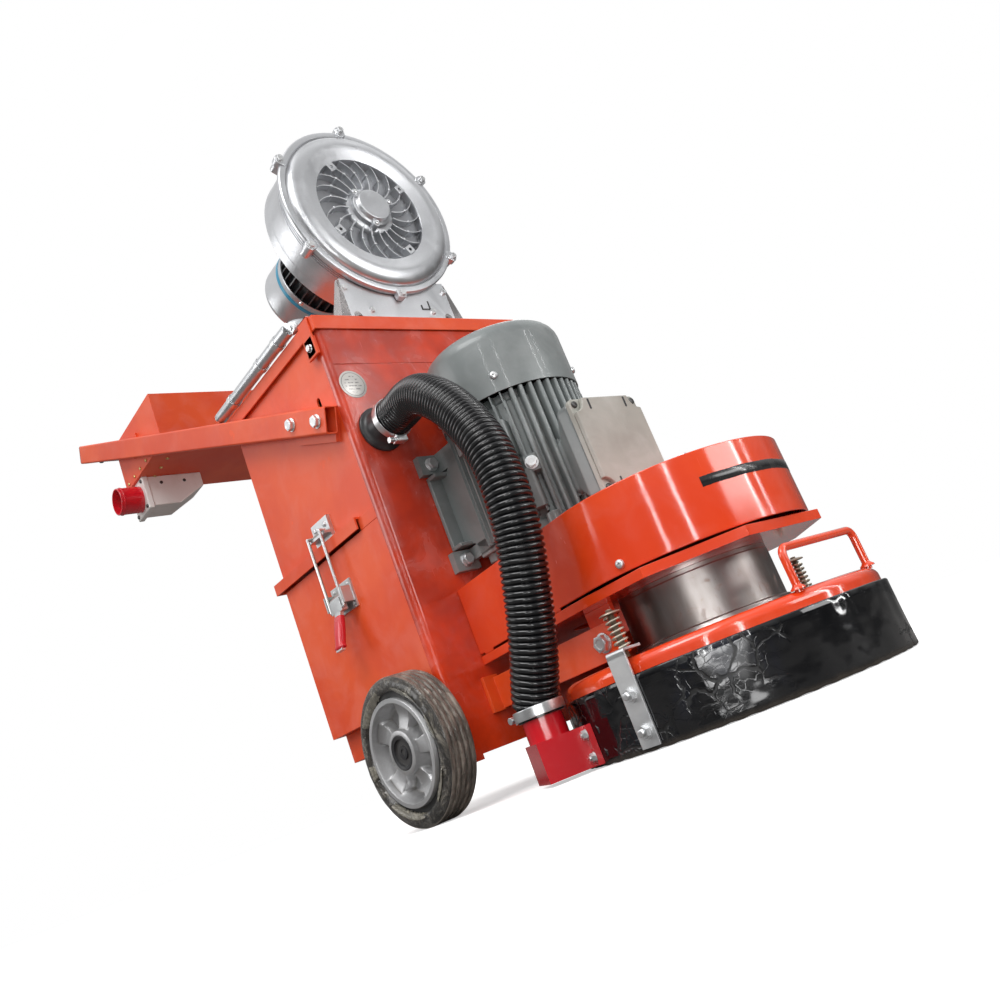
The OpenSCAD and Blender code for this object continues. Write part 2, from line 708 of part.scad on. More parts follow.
module diamond_segments() color("darkkhaki") for (i = [0:segment_count - 1])
  at_head(i * 360 / segment_count)
    block([disc_r - segment_w - 14, -segment_l / 2, 0], [disc_r - 14, segment_l / 2, disc_z0]);

module head_cover() color("orangered") difference() {
  rod_z([spindle_x, 0, rim_low], head_top - rim_low, head_r);
  rod_z([spindle_x, 0, rim_low - 1], head_top - rim_low - cover_t + 1, head_r - 6);
  rod_z([spindle_x, 0, head_top - 20], 30, spindle_r + 30);
}

loop_in = 22;            // lifting loop back from the cover's edge
loop_half = 75;
loop_h = 50;
bar_r = 4.5;

module lifting_loop() color("orangered") translate([spindle_x + head_r - loop_in, 0, head_top]) {
  rod_y([0, -loop_half, loop_h - bar_r], 2 * loop_half, bar_r);
  both_sides() {
    rod_z([0, -loop_half, 0], loop_h - bar_r, bar_r);
    translate([0, -loop_half, loop_h - bar_r]) sphere(r = bar_r, $fn = round_fn);
  }
}

module pivot_lugs() color("red") both_sides() difference() {
  union() {
    block([cabinet_front, -arm_y0 - 26, arm_z - 24], [cabinet_front + 6, -arm_y0, arm_z + 26]);
    block([cabinet_front + 5, -arm_y0 - arm_t, arm_z - 22], [arm_x + 22, -arm_y0, arm_z + 22]);
  }
  rod_y([arm_x, -arm_y0 - arm_t - 1, arm_z], arm_t + 2, bolt_r + 1 + seat);
}

// ---- floating skirt ------------------------------------------------------

// The hose's middle line, from the collar on the cabinet to the dust port
hose_path = [
  [78, -153, 541], [108, -153, 541], [142, -159, 539], [176, -167, 528], [208, -175, 506],
  [240, -182, 474], [268, -190, 436], [290, -198, 398], [302, -204, 358], [304, -208, 314],
  [296, -209, 268], [283, -211, 222], [268, -212, 180], [252, -213, 142], [237, -214, 112],
  [228, -214, 92], [228, -214, 76]
];
hose_r = 29;
spout_top = hose_path[len(hose_path) - 1][2] - seat;

skirt_low = 1;
skirt_top = skirt_low + skirt_h;
bracket_angle = 83;
bracket_w = 25;
bracket_t = 3;
bracket_top = head_top + 10;
rod_at = head_r - 10;
port_angle = -118;
port_out = 60;           // how far the dust port stands out from the skirt
port_half = 32;
port_r = skirt_out + 35.5;     // its spout's distance from the spindle
port_top = 50;
spout_r = 24.5;

module skirt() color("black") difference() {
  ring(spindle_x, skirt_low, skirt_top, skirt_out, skirt_in);
  at_head(port_angle) block([skirt_in - 5, -22, 12], [skirt_out + 5, 22, 40]);
}

module skirt_brackets() color("silver") both_sides() at_head(-bracket_angle) difference() {
  union() {
    block([skirt_out, -bracket_w / 2, 5], [skirt_out + bracket_t, bracket_w / 2, bracket_top]);
    block([rod_at - 14, -bracket_w / 2, bracket_top - bracket_t],
          [skirt_out + bracket_t, bracket_w / 2, bracket_top]);
    for (z = [22, 62]) rod_x([skirt_out + bracket_t - 1, 0, z], 11, 4);
  }
  rod_z([rod_at, 0, bracket_top - bracket_t - 1], bracket_t + 2, 5);
}

module dust_port() color("crimson") at_head(port_angle) difference() {
  union() {
    block([skirt_out - 4, -port_half, 4], [skirt_out + 3, port_half + 10, port_top]);
    block([skirt_out, -port_half, 4], [skirt_out + port_out, port_half, port_top]);
    rod_z([port_r, 0, port_top - 1], spout_top - port_top + 1, spout_r);
  }
  rod_z([0, 0, 0], port_top + 40, skirt_out);
  rod_z([port_r, 0, 12], spout_top, spout_r - 2.5);
  block([skirt_out - 6, -20, 12], [port_r, 20, 40]);
}

rod_r = 4;
rod_top = head_top + 52;

module skirt_rods() color("gainsboro") both_sides() at_head(-bracket_angle) {
  rod_z([rod_at, 0, head_top], rod_top - head_top, rod_r);
  rod_z([rod_at, 0, rod_top - 4], 4, 13);
}

spring_r = 8;
wire_r = 1.2;
spring_low = bracket_top + wire_r + seat;
spring_high = rod_top - 4 - wire_r - seat;
coils = 6;
coil_steps = 12;

function spring_mid(t) = [spring_r * cos(360 * coils * t), spring_r * sin(360 * coils * t),
                          spring_low + (spring_high - spring_low) * t];

// A tube swept along points: ring of sides round each, square to the path
function unit(v) = v / norm(v);
function heading(p, i) = unit(p[min(i + 1, len(p) - 1)] - p[max(i - 1, 0)]);
function across(t, up) = unit(up - (up * t) * t);
function tube_points(p, r, up, n) = [for (i = [0:len(p) - 1])
  let (t = heading(p, i), u = across(t, up), v = cross(t, u))
  for (k = [0:n - 1]) p[i] + r * (cos(360 * k / n) * u + sin(360 * k / n) * v)];
function tube_faces(m, n) = concat(
  [[for (k = [0:n - 1]) k]], [[for (k = [n - 1:-1:0]) (m - 1) * n + k]],
  [for (i = [0:m - 2]) for (k = [0:n - 1])
    [i * n + k, (i + 1) * n + k, (i + 1) * n + (k + 1) % n, i * n + (k + 1) % n]]);
module tube(p, r, up, n) polyhedron(points = tube_points(p, r, up, n), faces = tube_faces(len(p), n));

module skirt_springs() color("silver") both_sides() at_head(-bracket_angle) translate([rod_at, 0, 0])
  tube([for (i = [0:coils * coil_steps]) spring_mid(i / (coils * coil_steps))], wire_r, [0, 0, 1], 8);

// ---- hose ----------------------------------------------------------------

module hose() color("black") tube(hose_path, hose_r, [0, 1, 0], 12);

module hose_collar() color("black") difference() {
  union() {
    rod_x([cabinet_front - 2 * sheet - 12, hose_y, hose_z], 2 * sheet + 12, collar_r);
    rod_x([cabinet_front, hose_y, hose_z], 6, hose_r + 6);
    rod_x([cabinet_front, hose_y, hose_z], hose_path[0][0] - seat - cabinet_front, collar_r);
  }
  rod_x([0, hose_y, hose_z], 120, collar_r - 3);
}

// ---- blower --------------------------------------------------------------

blower_x0 = -59;
blower_x1 = blower_x0 + blower_l;
blower_cover_t = 22;
blower_wall = 14;
impeller_r = blower_r - blower_wall - 4;
shelf_half = 105;
shelf_x = blower_x1 - 4;

module blower_housing() color("silver") difference() {
  union() {
    rod_x([blower_x0, 0, blower_z], blower_l, blower_r);
    block([blower_x0 + 4, -70, lid_top + 3], [blower_x1 - 6, 70, blower_z - blower_r / 2]);
    block([shelf_x, -shelf_half, lid_top], [shelf_x + 3, shelf_half, lid_top + 92]);
    block([blower_x0 - 20, -shelf_half - 22, lid_top], [shelf_x + 3, shelf_half + 22, lid_top + 3]);
  }
  rod_x([blower_x0 + 12, 0, blower_z], blower_l, blower_r - blower_wall);
  rod_x([blower_x0 - 1, 0, blower_z], 20, motor_shaft_r + run_fit);
  rod_z([duct_x, 0, lid_top - 1], blower_rise, duct_r);
  for (y = [-92, 92]) rod_x([shelf_x - 6, y, lid_top + 24], 20, 7);
}

ribs = 20;

module blower_cover() color("silver") {
  difference() {
    union() {
      rod_x([blower_x1, 0, blower_z], blower_cover_t, blower_r + 12);
      for (a = [30:60:330]) translate([0, 0, blower_z]) rotate([a, 0, 0])
        block([blower_x1, blower_r + 6, -9], [blower_x1 + 12, blower_r + 24, 9]);
    }
    rod_x([blower_x1 + 8, 0, blower_z], blower_cover_t, blower_r - 57);
  }
  for (i = [0:ribs - 1]) translate([0, 0, blower_z]) rotate([i * 360 / ribs, 0, 0])
    block([blower_x1 + 7, 38, -1.5], [blower_x1 + blower_cover_t - 3, blower_r - 56, 1.5]);
  rod_x([blower_x1 + 7, 0, blower_z], blower_cover_t - 7, 42);
  rod_x([blower_x1 + 7, 0, blower_z], blower_cover_t, 30);
}

blower_motor_l = 150;
blower_motor_r = 74;
blower_motor_x = blower_x0 - blower_motor_l;
blower_core_r = 34;

module blower_motor() color("dimgray") difference() {
  union() {
    rod_x([blower_motor_x, 0, blower_z], blower_motor_l, blower_motor_r - 12);
    for (a = [6:12:354]) translate([0, 0, blower_z]) rotate([a, 0, 0])
      block([blower_motor_x + 4, blower_motor_r - 15, -1.2], [blower_x0 - 10, blower_motor_r, 1.2]);
  }
  rod_x([blower_motor_x + 10, 0, blower_z], blower_motor_l, blower_core_r);
}

module blower_fan_cover() color("silver") difference() {
  rod_x([blower_motor_x - 36, 0, blower_z], 80, blower_motor_r + seat + 2);
  rod_x([blower_motor_x - 34, 0, blower_z], 80, blower_motor_r + seat);
}

module blower_impeller() color("silver") {
  rod_x([blower_motor_x + 20, 0, blower_z], blower_x0 + 30 - blower_motor_x - 20, motor_shaft_r);
  rod_x([blower_motor_x + 30, 0, blower_z], 90, blower_core_r - 1);
  rod_x([blower_x0 + 16, 0, blower_z], 6, impeller_r);
  for (a = [0:15:345]) translate([0, 0, blower_z]) rotate([a, 0, 0])
    block([blower_x0 + 20, impeller_r - 38, -1.5], [blower_x1 - 12, impeller_r, 1.5]);
}

// ---- the whole machine ---------------------------------------------------

// Moves what is drawn from the axle to the middle of the bounding box
module placed() { translate([-x_mid, 0, 0]) children(); }
module placed_left() { translate([-x_mid, 0, 0]) mirror([0, 1, 0]) children(); }

placed() base_frame();
placed() filter_housing();
placed() front_panel();
placed() dust_bin();
placed() lid();
placed() filter_cartridge();
placed() axle();
placed() tyre();  // wheel_right_tyre
placed() hub();  // wheel_right_hub
placed_left() tyre();  // wheel_left_tyre
placed_left() hub();  // wheel_left_hub
placed() latch_keepers();
placed() latch_bases();
placed() lever();  // latch_right_lever
placed() loop();  // latch_right_loop
placed_left() lever();  // latch_left_lever
placed_left() loop();  // latch_left_loop
placed() handle_tube();  // handle_right
placed_left() handle_tube();  // handle_left
placed() handle_bar();
placed() hex_bolts();
placed() control_box();
placed() control_panel();
placed() start_button();
placed() stop_button();
placed() emergency_stop();
placed() inlet_housing();
placed() inlet_shroud();
placed() motor_body();
placed() motor_shields();
placed() motor_fan_cover();
placed() motor_rotor();
placed() motor_fan();
placed() terminal_box();
placed() terminal_cover();
placed() belt_guard();
placed() guard_plate();
placed() drive_pulley();
placed() driven_pulley();
placed() belts();
placed() spindle();
placed() spindle_drum();
placed() spindle_bearings();
placed() grinding_disc();
placed() diamond_segments();
placed() head_cover();
placed() lifting_loop();
placed() pivot_lugs();
placed() skirt();
placed() skirt_brackets();
placed() dust_port();
placed() skirt_rods();
placed() skirt_springs();
placed() hose();
placed() hose_collar();
placed() blower_housing();
placed() blower_cover();
placed() blower_motor();
placed() blower_fan_cover();
placed() blower_impeller();
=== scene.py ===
import json
import logging
import random
from dataclasses import dataclass
from enum import Enum
from math import copysign, cos, pi, radians, sin
from typing import Callable, Sequence, Union

import bmesh
import bpy
from mathutils import Matrix, Vector

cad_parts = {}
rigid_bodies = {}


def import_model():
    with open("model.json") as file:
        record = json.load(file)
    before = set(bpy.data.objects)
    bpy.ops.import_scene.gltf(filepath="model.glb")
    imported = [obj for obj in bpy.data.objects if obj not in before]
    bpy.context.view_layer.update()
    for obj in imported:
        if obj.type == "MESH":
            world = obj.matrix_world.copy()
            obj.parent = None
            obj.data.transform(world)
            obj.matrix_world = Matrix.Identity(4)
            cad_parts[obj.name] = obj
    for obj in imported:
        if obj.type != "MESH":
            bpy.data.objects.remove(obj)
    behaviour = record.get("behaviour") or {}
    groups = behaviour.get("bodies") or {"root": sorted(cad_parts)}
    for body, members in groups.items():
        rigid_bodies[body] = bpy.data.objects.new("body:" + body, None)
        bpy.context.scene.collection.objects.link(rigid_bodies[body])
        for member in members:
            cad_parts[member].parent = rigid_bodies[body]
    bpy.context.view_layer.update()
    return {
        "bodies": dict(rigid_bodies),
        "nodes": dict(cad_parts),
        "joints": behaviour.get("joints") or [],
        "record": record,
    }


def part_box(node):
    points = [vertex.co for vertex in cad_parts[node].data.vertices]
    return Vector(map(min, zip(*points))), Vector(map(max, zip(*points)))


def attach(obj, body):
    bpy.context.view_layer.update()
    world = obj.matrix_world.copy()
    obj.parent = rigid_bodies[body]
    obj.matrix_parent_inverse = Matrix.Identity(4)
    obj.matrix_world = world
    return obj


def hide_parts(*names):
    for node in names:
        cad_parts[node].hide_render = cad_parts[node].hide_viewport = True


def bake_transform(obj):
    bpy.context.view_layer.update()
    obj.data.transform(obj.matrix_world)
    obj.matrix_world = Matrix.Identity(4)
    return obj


LOG = logging.getLogger("grinder")
X_AXIS, Y_AXIS, Z_AXIS = Vector((1, 0, 0)), Vector((0, 1, 0)), Vector((0, 0, 1))
TURN = 2 * pi
ON_AXIS = 1e-7  # radius below which a turned point lies on its axis, in metres
WELD_GAP = 0.00001  # points of a CAD mesh closer than this are one point, in metres
FLAT_ANGLE = 0.6  # CAD triangles that bend less than this are one face, in degrees
CHASSIS = "chassis"

Colour = tuple[float, float, float]
Profile = Sequence[tuple[float, float]]


def vec(x: float, y: float, z: float) -> Vector:
    """A point or a direction."""
    return Vector((x, y, z))


def shift(x: float, y: float, z: float) -> Matrix:
    """A move along the three axes."""
    return Matrix.Translation((x, y, z))


def spin(angle: float) -> Matrix:
    """A turn round Z, in radians."""
    return Matrix.Rotation(angle, 4, "Z")


class Side(Enum):
    """Which side of the machine a mirrored piece is on."""

    RIGHT = -1
    LEFT = 1

    @property
    def word(self) -> str:
        """The side's name as node names have it."""
        return self.name.lower()


# ---- shader building -------------------------------------------------------


def _operator(operation: str, swapped: bool = False) -> Callable[["Wire", object], "Wire"]:
    """Makes an operator of Wire that adds one Math node.

    Args:
        operation: the Math node's operation.
        swapped: puts the wire second, for an operator with the wire on its right.

    Returns:
        The operator.
    """
    def apply(wire: "Wire", other: object) -> "Wire":
        """Adds the node on the wire and the other value."""
        first, second = (other, wire) if swapped else (wire, other)
        return wire.graph.make("ShaderNodeMath", {"operation": operation}, {0: first, 1: second})

    return apply


class Wire:
    """One output of a shader node; sums on it add Math nodes, | gives the larger and & the smaller."""

    def __init__(self, graph: "Graph", socket: bpy.types.NodeSocket) -> None:
        """Remembers the graph and the socket."""
        self.graph = graph
        self.socket = socket

    __add__ = _operator("ADD")
    __radd__ = _operator("ADD", swapped=True)
    __sub__ = _operator("SUBTRACT")
    __rsub__ = _operator("SUBTRACT", swapped=True)
    __mul__ = _operator("MULTIPLY")
    __rmul__ = _operator("MULTIPLY", swapped=True)
    __gt__ = _operator("GREATER_THAN")
    __lt__ = _operator("LESS_THAN")
    __or__ = _operator("MAXIMUM")
    __and__ = _operator("MINIMUM")


class Graph:
    """A material's node tree with one Principled shader."""

    def __init__(self, name: str) -> None:
        """Starts an empty material of that name."""
        self.material = bpy.data.materials.new(name)
        self.material.use_nodes = True
        self.tree = self.material.node_tree
        self.tree.nodes.clear()
        self.shader = self.tree.nodes.new("ShaderNodeBsdfPrincipled")
        output = self.tree.nodes.new("ShaderNodeOutputMaterial")
        self.tree.links.new(self.shader.outputs[0], output.inputs["Surface"])
        self.place = self.make("ShaderNodeTexCoord", {}, {}, "Object")

    def make(self, kind: str, settings: dict, inputs: dict, out: Union[int, str] = 0) -> Wire:
        """Adds any node.

        Args:
            kind: the node's type.
            settings: attributes, or "stops" for a ramp: a list of (position, value or colour).
            inputs: values or wires by socket name or number.
            out: the output wanted.

        Returns:
            That output.
        """
        node = self.tree.nodes.new(kind)
        for key, value in settings.items():
            if key == "stops":
                self._stops(node, value)
            else:
                setattr(node, key, value)
        for key, value in inputs.items():
            self.link(node.inputs[key], value)
        return Wire(self, node.outputs[out])

    @staticmethod
    def _stops(node: bpy.types.Node, stops: Sequence) -> None:
        """Sets a ramp's stops from (position, grey or colour) pairs."""
        ramp = node.color_ramp
        while len(ramp.elements) < len(stops):
            ramp.elements.new(0.5)
        for element, (position, value) in zip(ramp.elements, stops):
            element.position = position
            tone = (value,) * 3 if isinstance(value, (int, float)) else tuple(value)
            element.color = (*tone, 1)

    def link(self, socket: bpy.types.NodeSocket, value: object) -> None:
        """Links a wire to a socket, or sets its constant."""
        if isinstance(value, Wire):
            self.tree.links.new(value.socket, socket)
        elif isinstance(value, (tuple, list, Vector)) and socket.type == "RGBA":
            socket.default_value = (*value, 1)
        else:
            socket.default_value = value

    def stretched(self, scale: Sequence[float], turn: Sequence[float] = (0, 0, 0)) -> Wire:
        """Object coordinates with their own scale on each axis."""
        return self.make("ShaderNodeMapping", {}, {"Vector": self.place, "Scale": scale, "Rotation": turn})

    def noise(self, scale: float, detail: float = 3, rough: float = 0.5, where: Wire = None,
              warp: float = 0.0) -> Wire:
        """Noise from 0 to 1; scale is features per metre."""
        return self.make("ShaderNodeTexNoise", {}, {
            "Vector": where or self.place, "Scale": scale, "Detail": detail,
            "Roughness": rough, "Distortion": warp})

    def cells(self, scale: float, feature: str = "F1", where: Wire = None) -> Wire:
        """Voronoi distance; scale is cells per metre."""
        return self.make("ShaderNodeTexVoronoi", {"feature": feature},
                         {"Vector": where or self.place, "Scale": scale}, "Distance")

    def between(self, value: Wire, low: float, high: float) -> Wire:
        """0 below low, 1 above high, smooth between."""
        return self.make("ShaderNodeMapRange", {"interpolation_type": "SMOOTHSTEP", "clamp": True},
                         {"Value": value, "From Min": low, "From Max": high})

    def blend(self, factor: object, first: object, second: object) -> Wire:
        """Mixes two colours."""
        node = self.tree.nodes.new("ShaderNodeMix")
        node.data_type = "RGBA"
        self.link(node.inputs[0], factor)
        self.link(node.inputs[6], first)
        self.link(node.inputs[7], second)
        return Wire(self, node.outputs[2])

    def axis(self, name: str) -> Wire:
        """One of the object coordinates, X, Y or Z."""
        return self.make("ShaderNodeSeparateXYZ", {}, {0: self.place}, name)

    def edges(self, low: float = 0.515, high: float = 0.56) -> Wire:
        """1 along convex edges, 0 on flats and hollows."""
        return self.between(self.make("ShaderNodeNewGeometry", {}, {}, "Pointiness"), low, high)

    def hollows(self) -> Wire:
        """1 in concave corners, 0 on flats."""
        return 1 - self.between(self.make("ShaderNodeNewGeometry", {}, {}, "Pointiness"), 0.44, 0.5)

    def bump(self, height: Wire, depth: float, onto: Wire = None) -> Wire:
        """A bump of that depth in metres."""
        inputs = {"Height": height, "Distance": depth, "Strength": 1.0}
        if onto is not None:
            inputs["Normal"] = onto
        return self.make("ShaderNodeBump", {}, inputs)

    def set(self, **values: object) -> None:
        """Sets or links shader sockets; a name's underscores stand for spaces."""
        for key, value in values.items():
            self.link(self.shader.inputs[key.replace("_", " ")], value)


class Finish:
    """A surface finish: makes its material once and hands it out."""

    name: str
    slot: str
    _made: dict = {}

    def material(self) -> bpy.types.Material:
        """The finish's material, made on first use."""
        if self.name not in Finish._made:
            graph = Graph(self.name)
            self.build(graph)
            Finish._made[self.name] = graph.material
        return Finish._made[self.name]

    def build(self, g: Graph) -> None:
        """Fills in the material's nodes."""
        raise NotImplementedError


@dataclass(frozen=True)
class Paint(Finish):
    """Sprayed or powder-coated metal with orange peel, scuffs and dust."""

    name: str
    slot: str
    colour: Colour
    deep: Colour
    rough: float = 0.3
    coat: float = 0.35
    peel: float = 0.00007
    dust: float = 0.25
    bare: Colour = (0.35, 0.16, 0.1)
    worn: float = 0.0

    def build(self, g: Graph) -> None:
        """Colour drift, scratches, worn edges and a fine peel bump."""
        drift = g.noise(6, 4, 0.6)
        patches = g.between(g.noise(17, 5, 0.6, warp=0.6), 0.42, 0.72)
        scratches = g.between(g.noise(30, 3, 0.6, g.stretched((1.2, 26, 1.2), (0.3, 0.5, 0.6))), 0.66, 0.7)
        scuffs = scratches * g.between(g.noise(9, 3), 0.5, 0.62)
        rubbed = g.between(g.noise(5, 3, 0.5), 0.56, 0.62) * g.between(g.noise(70, 4, 0.7), 0.45, 0.6)
        tone = g.blend(g.between(drift, 0.35, 0.65), self.deep, self.colour)
        tone = g.blend(patches * (0.3 * self.dust), tone, tuple(0.55 + 0.4 * c for c in self.colour))
        tone = g.blend(rubbed * 0.2 * self.dust, tone, tuple(0.55 * c for c in self.deep))
        tone = g.blend(scuffs * 0.35, tone, tuple(min(1, 1.15 * c + 0.06) for c in self.colour))
        if self.worn:
            chips = g.edges(0.53, 0.6) * g.between(g.noise(60, 5, 0.7), 0.5, 0.6)
            # Darker tone of the paint in concave corners, in patches.
            concave_darkening = g.hollows() * g.between(g.noise(25, 5, 0.7), 0.3, 0.7)
            tone = g.blend(concave_darkening * (0.5 * self.worn), tone, tuple(0.35 * c for c in self.deep))
            tone = g.blend(chips * self.worn, tone, self.bare)
        peel = g.noise(900, 2, 0.5)
        sag = g.noise(14, 2, 0.4)
        bump = g.bump(sag, 0.0006, g.bump(peel, self.peel))
        g.set(Base_Color=tone, Roughness=patches * 0.12 + scuffs * 0.2 + self.rough,
              Coat_Weight=self.coat, Coat_Roughness=0.12, Normal=bump, Specular_IOR_Level=0.5)


@dataclass(frozen=True)
class Metal(Finish):
    """Bare or plated metal with its own grain and stains."""

    name: str
    slot: str
    colour: Colour
    stain: Colour
    rough: float = 0.3
    grain: tuple[float, float, float] = (1, 1, 1)
    grain_scale: float = 300
    grain_depth: float = 0.00003
    stained: float = 0.4
    cast: float = 0.0

    def build(self, g: Graph) -> None:
        """Directional grain or cast texture, with stains in patches and hollows."""
        grain = g.noise(self.grain_scale, 3, 0.6, g.stretched(self.grain))
        cloud = g.between(g.noise(22, 5, 0.65, warp=0.4), 0.4, 0.7)
        spots = g.between(g.noise(140, 4, 0.7), 0.6, 0.72)
        dirt = (g.hollows() | (cloud * self.stained)) * 0.85
        tone = g.blend(g.between(grain, 0.3, 0.7) * 0.25, self.colour, tuple(0.8 * c for c in self.colour))
        tone = g.blend(dirt, tone, self.stain)
        tone = g.blend(g.edges(0.52, 0.58) * 0.35, tone, tuple(min(1, c * 1.25 + 0.05) for c in self.colour))
        skin = g.noise(700, 3, 0.6)
        bump = g.bump(skin, 0.00004 + self.cast, g.bump(grain, self.grain_depth))
        g.set(Base_Color=tone, Metallic=1 - dirt * 0.55,
              Roughness=cloud * 0.14 + spots * 0.12 + grain * 0.1 + self.rough, Normal=bump)


@dataclass(frozen=True)
class Turned(Finish):
    """Lathe-turned steel: fine level rings with brown stains between."""

    name: str
    slot: str
    colour: Colour
    stain: Colour
    rough: float = 0.28

    def build(self, g: Graph) -> None:
        """Rings of tool marks, streaks running down, rust bloom."""
        rings = g.noise(220, 3, 0.7, g.stretched((0.02, 0.02, 6)))
        streak = g.between(g.noise(26, 4, 0.6, g.stretched((1, 1, 0.25))), 0.38, 0.7)
        bloom = g.between(g.noise(45, 6, 0.7, warp=0.8), 0.56, 0.72)
        tone = g.blend(streak * 0.7, self.colour, self.stain)
        tone = g.blend(bloom * 0.4, tone, (0.2, 0.11, 0.07))
        tone = g.blend(g.edges() * 0.5, tone, (0.8, 0.78, 0.76))
        g.set(Base_Color=tone, Metallic=1 - bloom * 0.4, Roughness=bloom * 0.2 + rings * 0.05 + self.rough,
              Normal=g.bump(g.noise(14, 2), 0.0001, g.bump(rings, 0.00001)))


@dataclass(frozen=True)
class Moulded(Finish):
    """Moulded plastic or rubber with a fine skin."""

    name: str
    slot: str
    colour: Colour
    rough: float = 0.4
    skin: float = 0.00003
    dusty: Colour = (0.3, 0.28, 0.26)
    dust: float = 0.12
    coat: float = 0.0

    def build(self, g: Graph) -> None:
        """Dust in hollows and patches, worn sheen, fine texture."""
        patches = g.between(g.noise(28, 5, 0.6, warp=0.5), 0.45, 0.75)
        marks = g.between(g.noise(80, 3, 0.6, g.stretched((1, 9, 2), (0.4, 0.2, 0.5))), 0.66, 0.72)
        dirt = (patches | g.hollows()) * self.dust
        tone = g.blend(dirt, self.colour, self.dusty)
        tone = g.blend(marks * 0.2, tone, tuple(min(1, c * 1.3 + 0.04) for c in self.colour))
        bump = g.bump(g.noise(26, 2), 0.0002, g.bump(g.noise(1400, 2), self.skin))
        g.set(Base_Color=tone, Roughness=patches * 0.12 + marks * 0.12 + self.rough,
              Coat_Weight=self.coat, Normal=bump)


# ---- mesh building ---------------------------------------------------------


def facing(origin: Vector, axis: Vector, up: Vector = Z_AXIS) -> Matrix:
    """A frame at origin whose Z runs along axis and whose Y leans towards up."""
    z = Vector(axis).normalized()
    hint = Vector(up) if abs(z.dot(Vector(up).normalized())) < 0.99 else X_AXIS
    x = hint.cross(z).normalized()
    y = z.cross(x)
    return Matrix.Translation(origin) @ Matrix((x, y, z)).transposed().to_4x4()


